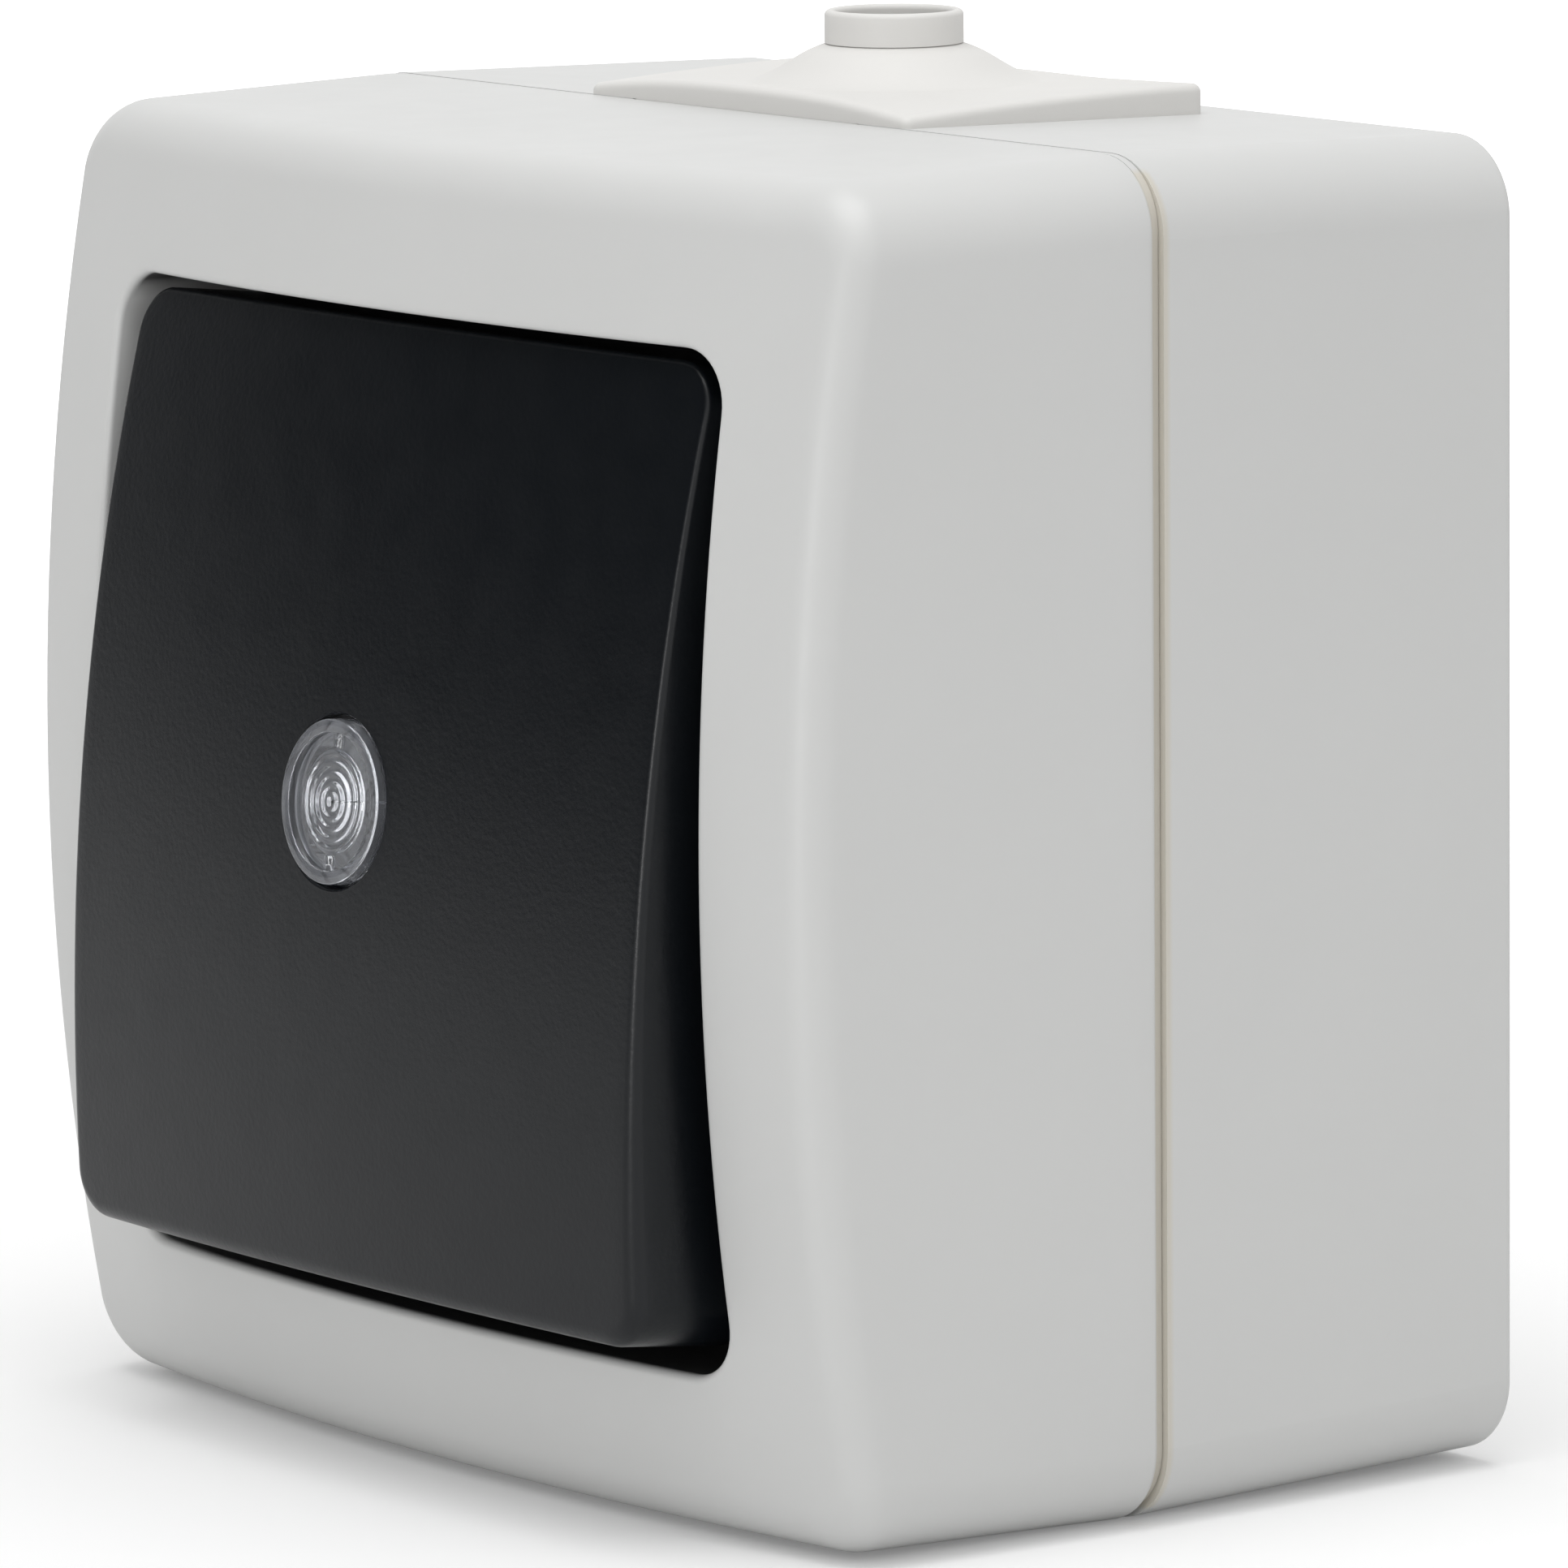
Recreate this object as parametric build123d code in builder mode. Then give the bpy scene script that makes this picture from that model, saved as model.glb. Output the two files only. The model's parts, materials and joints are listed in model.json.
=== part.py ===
from build123d import *
import math
import os

os.makedirs("parts", exist_ok=True)

# Frame: X to the right and Z up as seen from the front, Y = 0 on the wall, the front towards -Y.
# A depth is a distance in front of the wall.

# Housing
housing_width = 75.0
housing_height = 75.0
seam_depth = 25.4
seam_gap = 0.5
corner_radius = 4.4
corner_share = 0.6
wall = 2.4
back_wall = 2.4
box_side_draft = 0.034
box_top_draft = 0.022
cover_side_draft = 0.025
cover_top_draft = 0.021

# Cover's pillow-shaped front
front_corner_depth = 45.1
front_bow_across = 3.4
front_bow_upright = 4.1
front_edge_radius = 2.8
inner_edge_radius = 1.8
pillow_overrun = 1.3
rim_rounding = 0.5

# Seal between box and cover
ledge_drop = 3.0
ledge_width = 1.2
seal_height = 1.4
fit = 0.1

# Window and the tray behind it
window_width = 57.4
window_height = 55.9
window_radius = 3.4
lip_rounding = 0.7
tray_wall = 1.6
tray_depth = 39.6
tray_floor = 1.8
tray_opening_height = 35.0
tray_opening_radius = 2.0

# Rocker cap, in the frame that tilts with it; heights are above the pivot axis
pivot_rise = 5.48
half_swing = 6.3
rocker_width = 54.3
rocker_height = 53.4
rocker_radius = 2.8
rocker_crest = 9.1
rocker_bow_across = 2.48
rocker_bow_upright = 4.3
rocker_skirt = 1.6
rocker_shell = 2.2
rocker_side = 1.8
rocker_edge = 0.35
clip_width = 5.0
clip_thickness = 1.4
clip_hook = 0.8
clip_spacing = 18.0

# Indicator lens
lens_radius = 4.6
lens_proud = 0.35
lens_head = 1.3
lens_stem_radius = 3.7
lens_stem = 1.75
lens_rim = 0.45
lens_rings = 5
ring_pitch = 0.57
ring_height = 0.22
lens_play = 0.15

# Cable gland
gland_width = 29.6
gland_length = 21.3
gland_plate = 1.4
gland_inner_plate = 1.3
gland_inner_margin = 1.7
slot_width = 21.2
slot_length = 17.2
slot_radius = 5.0
gland_cone_radius = 8.0
gland_cone_height = 2.1
gland_neck_radius = 3.95
gland_neck_height = 1.9
gland_bore_radius = 3.3
gland_corner = 3.0
gland_edge_rounding = 0.7
gland_lip_rounding = 0.26

# Switch block, as wide and high as the tray opening and the overlap of its frame plate
plate_overlap_across = 2.5
plate_overlap_upright = 4.5
opening_clearance = 0.5
base_depth = 8.0
base_floor = 13.2
base_wall = 1.5
base_corner = 1.5
side_wall = 4.5
rib = 1.1
chamber_near = 11.5
ear_offset = 13.0
ear_reach = 3.6
ear_radius = 3.4
ear_thickness = 3.0
rib_x = 5.5

# Frame plate and the bearing cheeks
plate_thickness = 2.2
gasket_thickness = 1.2
gasket_inset = 0.3
cheek_thickness = 2.5
cheek_half_height = 4.0
cheek_top = 2.6
trunnion_radius = 1.9
running_fit = 0.05
snap_opening = 3.0
moving_gap = 0.3
hook_below = 5.4
hook_bite = 0.6
hook_height = 1.6
hook_width = 6.0
arm_thickness = 1.0

# Rocker carrier
carrier_half_width = 13.7
carrier_plate_half_height = 13.8
carrier_plate_low = 1.9
carrier_plate_thickness = 1.6
hub_half_height = 2.6
hub_low = 2.4
lamp_window_width = 8.4
lamp_window_height = 11.0
tube_radius = 2.6
tube_end = 12.5
tube_bore_top = 0.5

# Plunger, spring and contacts
contact_x = 10.0
plunger_radius = 1.5
plunger_length = 9.8
plunger_reach = 17.8
plunger_tip_rounding = 0.9
spring_wire = 0.4
spring_turns = 7
lever_drop = 18.78
half_rock = 7.0
lever_width = 5.0
lever_half_length = 9.0
lever_top = 0.9
lever_thickness = 0.8
blade_tip = 0.35
strip = 0.8
strip_width = 5.0
strip_bend = 0.48
tip_offset = 7.3
tip_radius = 1.3
tip_height = 0.5
closed_gap = 0.12

# Terminals
terminal_x = 10.0
clamp_thickness = 0.5
clamp_back_height = 11.8
clamp_rise = 10.3
clamp_bend = 1.2
finger_gap = 0.8
key_travel = 1.5
key_bar_height = 2.4
key_bar_thickness = 1.9
key_head_width = 8.0
key_head_proud = 0.7
key_near = 14.2
finger_width = 3.6
wire_hole_radius = 1.5

# Lamp
lamp_radius = 2.0
lamp_tip_depth = 50.0
lamp_drop = 3.98
lamp_rounding = 1.4
socket_depth = 2.3
holder_radius = 3.0
holder_flange_radius = 4.2
holder_flange = 1.0
holder_end_depth = 30.0
lead_radius = 0.3
lead_spread = 1.9

# Screws
cover_screw_x = 24.6
cover_screw_z = 21.0
screw_head_radius = 3.0
screw_head_height = 1.9
screw_radius = 1.75
screw_length = 22.0
screw_play = 1.0
boss_radius = 4.2
post_radius = 3.1
post_depth = 24.5
mechanism_screw_length = 8.0
mechanism_screw_radius = 1.5
support_x = 15.0
support_z = 17.0
recess_width = 1.0
recess_depth = 0.9
wall_slot_width = 4.6
wall_slot_length = 9.0
wall_slot_spacing = 55.0


def front(depth):
    """Plane that faces the viewer, at a depth in front of the wall."""
    return Plane.XZ.offset(depth)


# Frame of all that tilts with the rocker, at rest with its top pressed in, and the lever's frame
pivot_depth = tray_depth + pivot_rise
rock_axis_depth = pivot_depth - lever_drop
tilted = front(pivot_depth).rotated((-half_swing, 0, 0))
rocked = front(rock_axis_depth).rotated((half_rock, 0, 0))


def pillow(base, crest, bow_across, bow_upright, half_width, half_height, body):
    """Solid with a doubly curved front: an arc across, turned about a level axis behind it.

    The bows are measured at half_width and half_height, and body is how deep the solid is.
    """
    radius_across = (half_width**2 + bow_across**2) / (2 * bow_across)
    radius_upright = (half_height**2 + bow_upright**2) / (2 * bow_upright)
    turn = 2 * math.degrees(math.asin(pillow_overrun * half_height / radius_upright))
    reach = math.degrees(math.asin(pillow_overrun * half_width / radius_across))
    axis_plane = Plane(
        base.offset(crest - radius_upright).origin, x_dir=base.x_dir, z_dir=-base.y_dir
    )
    with BuildPart() as solid:
        with BuildSketch(axis_plane.rotated((-turn / 2, 0, 0))):
            with BuildLine():
                face = CenterArc(
                    (0, radius_upright - radius_across), radius_across, 90 - reach, 2 * reach
                )
                inner = radius_upright - body
                Polyline(face @ 1, ((face @ 1).X, inner), ((face @ 0).X, inner), face @ 0)
            make_face()
        revolve(axis=Axis(axis_plane.origin, axis_plane.x_dir), revolution_arc=turn)
    return solid.part


def cover_block(depth_from, inset, crest, edge_radius):
    """Drafted block with a pillow front, inset from the cover's outside."""
    depth_to = crest + wall
    rise = depth_to - (seam_depth + seam_gap)
    start = depth_from - (seam_depth + seam_gap)
    with BuildPart() as block:
        for depth, run in ((depth_from, start), (depth_to, rise)):
            with BuildSketch(front(depth)):
                RectangleRounded(
                    housing_width - 2 * inset - 2 * cover_side_draft * run,
                    housing_height - 2 * inset - 2 * cover_top_draft * run,
                    corner_radius - inset * corner_share,
                )
        loft(ruled=True)
        add(
            pillow(
                front(0),
                crest,
                front_bow_across,
                front_bow_upright,
                housing_width / 2,
                housing_height / 2,
                crest - depth_from + wall,
            ),
            mode=Mode.INTERSECT,
        )
        fillet(block.faces().sort_by(Axis.Y)[0].edges(), edge_radius)
    return block.part


cover_rear = seam_depth + seam_gap
cheek_inner = carrier_half_width + moving_gap
tray_opening_width = 2 * (cheek_inner + cheek_thickness + opening_clearance)
base_width = tray_opening_width + 2 * plate_overlap_across
base_height = tray_opening_height + 2 * plate_overlap_upright
lamp_seat_depth = pivot_depth - lamp_drop
holder_top_depth = lamp_seat_depth + socket_depth
cover_crest = front_corner_depth + front_bow_across + front_bow_upright
tray_rear = tray_depth - tray_floor
base_front = tray_rear - gasket_thickness - plate_thickness
hook_depth = base_front - hook_below
ledge_depth = seam_depth - ledge_drop
seal_outer_inset = ledge_width + fit
cover_screws_at = ((cover_screw_x, cover_screw_z), (-cover_screw_x, -cover_screw_z))
head_seat_depth = tray_depth - screw_head_height - 2 * fit

# Front cover: drafted shell, tray behind the window, screw bosses, tongue
with BuildPart() as front_cover:
    add(cover_block(cover_rear, 0, cover_crest, front_edge_radius))
    rim = front_cover.faces().sort_by(Axis.Y)[-1]
    fillet(rim.edges(), rim_rounding)
    add(
        cover_block(cover_rear - rim_rounding, wall, cover_crest - wall, inner_edge_radius),
        mode=Mode.SUBTRACT,
    )
    with BuildSketch(front(tray_rear)):
        RectangleRounded(
            window_width + 2 * tray_wall, window_height + 2 * tray_wall, window_radius + tray_wall
        )
    tray_outside = extrude(amount=cover_crest, mode=Mode.PRIVATE)
    pillow_inside = pillow(
        front(0),
        cover_crest - wall / 2,
        front_bow_across,
        front_bow_upright,
        housing_width / 2,
        housing_height / 2,
        cover_crest - tray_rear,
    )
    add(tray_outside.intersect(pillow_inside))
    with BuildSketch(front(post_depth)):
        with Locations(*cover_screws_at):
            Circle(boss_radius)
    extrude(amount=tray_rear - post_depth)
    with BuildSketch(front(tray_depth)):
        RectangleRounded(window_width, window_height, window_radius)
    extrude(amount=cover_crest, mode=Mode.SUBTRACT)
    with BuildSketch(front(tray_rear)):
        RectangleRounded(tray_opening_width, tray_opening_height, tray_opening_radius)
    extrude(amount=tray_floor, mode=Mode.SUBTRACT)
    with BuildSketch(front(post_depth)):
        with Locations(*cover_screws_at):
            Circle(screw_radius + fit)
    extrude(amount=tray_depth - post_depth, mode=Mode.SUBTRACT)
    with BuildSketch(front(head_seat_depth)):
        with Locations(*cover_screws_at):
            Circle(screw_head_radius + 2 * fit)
    extrude(amount=tray_depth - head_seat_depth, mode=Mode.SUBTRACT)
    lip = front_cover.faces().sort_by(Axis.Y)[0].inner_wires()[0]
    fillet(lip.edges(), lip_rounding)
    with BuildSketch(front(ledge_depth + seal_height)):
        inset = 2 * seal_outer_inset
        RectangleRounded(
            housing_width - inset, housing_height - inset, corner_radius - seal_outer_inset
        )
        RectangleRounded(
            housing_width - 2 * wall,
            housing_height - 2 * wall,
            corner_radius - wall * corner_share,
            mode=Mode.SUBTRACT,
        )
    extrude(amount=cover_rear - ledge_depth - seal_height)
front_cover.part.label = "front_cover"
export_step(front_cover.part, "parts/front_cover.step")


def side(x):
    """Plane at one X whose coordinates are height and depth."""
    return Plane((x, 0, 0), x_dir=(0, 0, 1), z_dir=(1, 0, 0))


def level(z):
    """Plane at one height whose coordinates are X and depth."""
    return Plane((0, 0, z), x_dir=(1, 0, 0), z_dir=(0, 0, -1))


def tilted_at(height, x=0):
    """Plane of the rocker's frame, at a height above the pivot axis."""
    return Plane(tilted.from_local_coords((x, 0, height)), x_dir=tilted.x_dir, z_dir=tilted.z_dir)


ear_z = base_height / 2 + ear_reach
ears_at = ((ear_offset, ear_z), (-ear_offset, -ear_z))
screw_end_depth = head_seat_depth - screw_length
mechanism_head_depth = base_depth + ear_thickness
mechanism_screw_end = mechanism_head_depth - mechanism_screw_length
mouth_plane = Plane(
    (0, -seam_depth, housing_height / 2), x_dir=(1, 0, 0), z_dir=(0, box_top_draft, 1)
)

# Rear box: drafted shell, ledge for the seal, gland slot, posts and wall screw slots
with BuildPart() as back_box:
    for depth in (0, seam_depth):
        with BuildSketch(front(depth)):
            RectangleRounded(
                housing_width - 2 * box_side_draft * (seam_depth - depth),
                housing_height - 2 * box_top_draft * (seam_depth - depth),
                corner_radius,
            )
    loft(ruled=True)
    fillet(back_box.faces().sort_by(Axis.Y)[-1].edges(), rim_rounding)
    for depth in (back_wall, seam_depth):
        with BuildSketch(front(depth)):
            RectangleRounded(
                housing_width - 2 * wall - 2 * box_side_draft * (seam_depth - depth),
                housing_height - 2 * wall - 2 * box_top_draft * (seam_depth - depth),
                corner_radius - wall * corner_share,
            )
    loft(ruled=True, mode=Mode.SUBTRACT)
    with BuildSketch(front(ledge_depth)):
        RectangleRounded(
            housing_width - 2 * ledge_width,
            housing_height - 2 * ledge_width,
            corner_radius - ledge_width,
        )
    extrude(amount=ledge_drop, mode=Mode.SUBTRACT)
    with BuildSketch(mouth_plane):
        RectangleRounded(slot_width, 2 * slot_length, slot_radius)
    extrude(amount=2 * wall, both=True, mode=Mode.SUBTRACT)
    with BuildSketch(front(back_wall)):
        with Locations(*cover_screws_at):
            Circle(post_radius)
    extrude(amount=post_depth - back_wall)
    with BuildSketch(front(back_wall)):
        with Locations(*ears_at):
            Circle(post_radius)
        with Locations((-support_x, support_z), (support_x, -support_z)):
            Circle(post_radius)
    extrude(amount=base_depth - back_wall)
    with BuildSketch(front(screw_end_depth - screw_play)):
        with Locations(*cover_screws_at):
            Circle(screw_radius + fit)
    extrude(amount=post_depth - screw_end_depth + screw_play, mode=Mode.SUBTRACT)
    with BuildSketch(front(mechanism_screw_end - fit)):
        with Locations(*ears_at):
            Circle(mechanism_screw_radius + fit)
    extrude(amount=base_depth, mode=Mode.SUBTRACT)
    with BuildSketch(front(0)):
        with GridLocations(0, wall_slot_spacing, 1, 2):
            SlotOverall(wall_slot_length, wall_slot_width, rotation=90)
    extrude(amount=back_wall, mode=Mode.SUBTRACT)
back_box.part.label = "back_box"
export_step(back_box.part, "parts/back_box.step")

# Housing seal: flat ring on the box's ledge, under the cover's tongue
with BuildPart() as housing_seal:
    with BuildSketch(front(ledge_depth)):
        RectangleRounded(
            housing_width - 2 * seal_outer_inset,
            housing_height - 2 * seal_outer_inset,
            corner_radius - seal_outer_inset,
        )
        RectangleRounded(
            housing_width - 2 * wall,
            housing_height - 2 * wall,
            corner_radius - wall * corner_share,
            mode=Mode.SUBTRACT,
        )
    extrude(amount=seal_height)
housing_seal.part.label = "housing_seal"
export_step(housing_seal.part, "parts/housing_seal.step")

# Cable gland: plates outside and inside the wall, web in the slot, cone, neck and bore
gland_y = gland_length / 2 - seam_depth
gland_plate_top = housing_height / 2 - box_top_draft * gland_length / 2 + gland_plate
gland_web = slot_length - fit
with BuildPart() as cable_gland:
    with BuildSketch(mouth_plane):
        with Locations((0, gland_length / 2)):
            RectangleRounded(gland_width, gland_length, gland_corner)
    extrude(amount=gland_plate)
    fillet(cable_gland.faces().sort_by(Axis.Z)[-1].edges(), gland_edge_rounding)
    with BuildSketch(mouth_plane):
        RectangleRounded(slot_width - 2 * fit, 2 * gland_web, slot_radius - fit)
        with Locations((0, -gland_web)):
            Rectangle(slot_width, 2 * gland_web, mode=Mode.SUBTRACT)
    extrude(amount=-(wall + fit))
    with BuildSketch(mouth_plane.offset(-wall - fit)):
        with Locations((0, ledge_drop + fit)):
            RectangleRounded(
                slot_width + 2 * gland_inner_margin,
                gland_web - ledge_drop + gland_inner_margin,
                gland_corner,
                align=(Align.CENTER, Align.MIN),
            )
    extrude(amount=-gland_inner_plate)
    with BuildSketch(mouth_plane.offset(fit - ledge_width)):
        Rectangle(slot_width, 2 * (ledge_drop + fit))
    extrude(amount=-wall, mode=Mode.SUBTRACT)
    with BuildSketch(Plane.XZ.offset(-gland_y)):
        with BuildLine():
            Polyline(
                (0, gland_plate_top - gland_plate / 2),
                (gland_cone_radius, gland_plate_top - gland_plate / 2),
                (gland_cone_radius, gland_plate_top),
                (gland_neck_radius, gland_plate_top + gland_cone_height),
                (gland_neck_radius, gland_plate_top + gland_cone_height + gland_neck_height),
                (0, gland_plate_top + gland_cone_height + gland_neck_height),
                close=True,
            )
        make_face()
    revolve(axis=Axis((0, gland_y, 0), (0, 0, 1)))
    with BuildSketch(Plane.XY.offset(gland_plate_top + gland_cone_height + gland_neck_height)):
        with Locations((0, gland_y)):
            Circle(gland_bore_radius)
    extrude(amount=-housing_height / 2, mode=Mode.SUBTRACT)
    mouth = cable_gland.faces().sort_by(Axis.Z)[-1]
    fillet(mouth.edges(), gland_lip_rounding)
cable_gland.part.label = "cable_gland"
export_step(cable_gland.part, "parts/cable_gland.step")

# Rocker cap: pillow-faced shell with a lens seat and four clips
carrier_edge = carrier_plate_half_height + 2 * fit
clip_z = carrier_edge + clip_thickness / 2
lens_seat = rocker_crest + lens_proud - lens_head - fit / 2
rocker_body = 2 * (rocker_crest + rocker_skirt)
rocker_bows = (
    rocker_bow_across, rocker_bow_upright, housing_width / 2, housing_height / 2, rocker_body
)
with BuildPart() as rocker:
    with BuildSketch(tilted_at(-rocker_skirt)):
        RectangleRounded(rocker_width, rocker_height, rocker_radius)
    extrude(amount=rocker_skirt + 2 * rocker_crest)
    add(pillow(tilted, rocker_crest, *rocker_bows), mode=Mode.INTERSECT)
    face = rocker.faces().sort_by(Axis(tilted.origin, tilted.z_dir))[-1]
    fillet(face.edges(), rocker_edge)
    with BuildSketch(tilted_at(-rocker_skirt)):
        RectangleRounded(
            rocker_width - 2 * rocker_side,
            rocker_height - 2 * rocker_side,
            rocker_radius - rocker_side / 2,
        )
    hollow = extrude(amount=rocker_skirt + 2 * rocker_crest, mode=Mode.PRIVATE)
    add(
        hollow.intersect(pillow(tilted, rocker_crest - rocker_shell, *rocker_bows)),
        mode=Mode.SUBTRACT,
    )
    with BuildSketch(tilted_at(carrier_plate_low - clip_hook - fit)):
        with GridLocations(clip_spacing, 2 * clip_z, 2, 2):
            Rectangle(clip_width, clip_thickness)
    legs = extrude(amount=2 * rocker_crest, mode=Mode.PRIVATE)
    add(legs.intersect(pillow(tilted, rocker_crest - rocker_shell / 2, *rocker_bows)))
    with BuildSketch(tilted_at(carrier_plate_low - clip_hook - fit)):
        with GridLocations(clip_spacing, 2 * clip_z - clip_hook, 2, 2):
            Rectangle(clip_width, clip_thickness + clip_hook)
    extrude(amount=clip_hook)
    with BuildSketch(tilted_at(lens_seat)):
        Circle(lens_radius + lens_play)
    extrude(amount=rocker_crest, mode=Mode.SUBTRACT)
    with BuildSketch(tilted_at(0)):
        Circle(lens_stem_radius + fit)
    extrude(amount=2 * rocker_crest, mode=Mode.SUBTRACT)
rocker.part.label = "rocker"
export_step(rocker.part, "parts/rocker.step")

# Indicator lens: disc with a rim and fine rings, on a stem that passes through the cap
lens_top = rocker_crest + lens_proud
lens_face = lens_top - ring_height
ring_points = []
for ring in range(lens_rings):
    outer = (lens_rings - ring) * ring_pitch
    ring_points += [(outer, lens_face), (outer - ring_pitch / 2, lens_top)]
lens_side = Plane(tilted.origin, x_dir=tilted.x_dir, z_dir=-tilted.y_dir)
with BuildPart() as indicator_lens:
    with BuildSketch(lens_side):
        with BuildLine():
            Polyline(
                (0, lens_top - lens_head - lens_stem),
                (lens_stem_radius, lens_top - lens_head - lens_stem),
                (lens_stem_radius, lens_top - lens_head),
                (lens_radius, lens_top - lens_head),
                (lens_radius, lens_top),
                (lens_radius - lens_rim, lens_top),
                (lens_radius - lens_rim, lens_face),
                *ring_points,
                (0, lens_face),
                close=True,
            )
        make_face()
    revolve(axis=Axis(tilted.origin, tilted.z_dir))
indicator_lens.part.label = "indicator_lens"
export_step(indicator_lens.part, "parts/indicator_lens.step")

# Rocker carrier: plate, hub with trunnions, lamp window and plunger tube
trunnion_end = cheek_inner + cheek_thickness + 2 * fit
with BuildPart() as rocker_carrier:
    with BuildSketch(tilted_at(carrier_plate_low)):
        Rectangle(2 * carrier_half_width, 2 * carrier_plate_half_height)
    extrude(amount=carrier_plate_thickness)
    with BuildSketch(tilted_at(-hub_low)):
        Rectangle(2 * carrier_half_width, 2 * hub_half_height)
    extrude(amount=hub_low + carrier_plate_low)
    with BuildSketch(tilted_at(-tube_end)):
        with Locations((-contact_x, 0)):
            Circle(tube_radius)
    extrude(amount=tube_end + carrier_plate_low)
    with BuildSketch(tilted_at(-hub_low)):
        Rectangle(lamp_window_width, lamp_window_height)
    extrude(amount=hub_low + 2 * carrier_plate_low, mode=Mode.SUBTRACT)
    with BuildSketch(tilted_at(-tube_end)):
        with Locations((-contact_x, 0)):
            Circle(plunger_radius + running_fit)
    extrude(amount=tube_end + tube_bore_top, mode=Mode.SUBTRACT)
    for edge_x in (-trunnion_end, carrier_half_width):
        with BuildSketch(side(edge_x)):
            with Locations((0, pivot_depth)):
                Circle(trunnion_radius)
        extrude(amount=trunnion_end - carrier_half_width)
rocker_carrier.part.label = "rocker_carrier"
export_step(rocker_carrier.part, "parts/rocker_carrier.step")

# Contact plunger, rounded at its tip
with BuildPart() as contact_plunger:
    with BuildSketch(tilted_at(-plunger_reach)):
        with Locations((-contact_x, 0)):
            Circle(plunger_radius)
    extrude(amount=plunger_length)
    tip = contact_plunger.faces().sort_by(Axis(tilted.origin, tilted.z_dir))[0]
    fillet(tip.edges(), plunger_tip_rounding)
contact_plunger.part.label = "contact_plunger"
export_step(contact_plunger.part, "parts/contact_plunger.step")

# Plunger spring, between the plunger and the end of its tube
spring_start = plunger_length - plunger_reach + spring_wire / 2 + fit
spring_length = tube_bore_top - fit - spring_wire / 2 - spring_start
spring_base = tilted_at(spring_start, -contact_x)
spring_coil_radius = plunger_radius - fit - spring_wire / 2
with BuildPart() as plunger_spring:
    with BuildLine():
        coil = Helix(
            pitch=spring_length / spring_turns,
            height=spring_length,
            radius=spring_coil_radius,
            center=spring_base.origin,
            direction=spring_base.z_dir,
        )
    with BuildSketch(Plane(coil @ 0, z_dir=coil % 0)):
        RegularPolygon(spring_wire / 2, 6)
    sweep(path=coil, is_frenet=True)
plunger_spring.part.label = "plunger_spring"
export_step(plunger_spring.part, "parts/plunger_spring.step")

# Moving contact: lever with a groove for the blade and a tip at each end
lever_under = lever_top - lever_thickness
with BuildPart() as moving_contact:
    lever_plane = Plane(
        rocked.from_local_coords((-contact_x, 0, 0)), x_dir=rocked.x_dir, z_dir=rocked.z_dir
    )
    with BuildSketch(lever_plane.offset(lever_under)):
        Rectangle(lever_width, 2 * lever_half_length)
    extrude(amount=lever_thickness)
    with BuildSketch(lever_plane.offset(lever_under)):
        with Locations((0, tip_offset), (0, -tip_offset)):
            Circle(tip_radius)
    extrude(amount=-tip_height)
    with BuildSketch(side(-contact_x)):
        with Locations((0, rock_axis_depth)):
            Circle(blade_tip + fit)
    extrude(amount=lever_width, both=True, mode=Mode.SUBTRACT)
moving_contact.part.label = "moving_contact"
export_step(moving_contact.part, "parts/moving_contact.step")

# Fixed contacts, each closed by one end of the lever
swing = math.radians(half_rock)
tip_low = tip_height - lever_under
tip_reach = tip_offset + tip_radius
fixed_face = (
    rock_axis_depth - tip_low * math.cos(swing) - tip_reach * math.sin(swing) - closed_gap
)
fixed_strip_top = fixed_face - tip_height
bar_z = chamber_near + fit + strip / 2


def fixed_contact(upward):
    """Bent strip from under the lever's end into the terminal chamber, with its rivet."""
    with BuildPart() as contact:
        with BuildSketch(side(-contact_x)):
            with BuildLine():
                FilletPolyline(
                    (upward * (tip_offset - tip_radius - fit), fixed_strip_top - strip / 2),
                    (upward * bar_z, fixed_strip_top - strip / 2),
                    (upward * bar_z, base_floor),
                    radius=strip_bend,
                )
            trace(line_width=strip)
        extrude(amount=strip_width / 2, both=True)
        with BuildSketch(front(fixed_strip_top)):
            with Locations((-contact_x, upward * tip_offset)):
                Circle(tip_radius)
        extrude(amount=tip_height)
    return contact.part


with BuildPart() as upper_fixed_contact:
    add(fixed_contact(1))
upper_fixed_contact.part.label = "upper_fixed_contact"
export_step(upper_fixed_contact.part, "parts/upper_fixed_contact.step")

with BuildPart() as lower_fixed_contact:
    add(fixed_contact(-1))
lower_fixed_contact.part.label = "lower_fixed_contact"
export_step(lower_fixed_contact.part, "parts/lower_fixed_contact.step")

# Common contact: blade under the lever, floor strip and upright bar of its terminal
lead_half_track = 1.2
floor_strip_low = lead_spread - lead_half_track
floor_strip_high = lead_spread + lead_half_track
strip_edge = contact_x + strip_width / 2


def floor_strip(start_x, upward):
    """Flat strip on the block's floor from one X to the right-hand terminal, with its bar."""
    with BuildPart() as track:
        with BuildSketch(front(base_floor)):
            with BuildLine():
                Polyline(
                    (start_x, upward * floor_strip_low),
                    (terminal_x + strip_width / 2, upward * floor_strip_low),
                    (terminal_x + strip_width / 2, upward * (bar_z + strip / 2)),
                    (terminal_x - strip_width / 2, upward * (bar_z + strip / 2)),
                    (terminal_x - strip_width / 2, upward * floor_strip_high),
                    (start_x, upward * floor_strip_high),
                    close=True,
                )
            make_face()
        extrude(amount=strip)
        with BuildSketch(front(base_floor)):
            with Locations((terminal_x, upward * bar_z)):
                Rectangle(strip_width, strip)
        extrude(amount=fixed_strip_top - base_floor)
    return track.part


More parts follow.
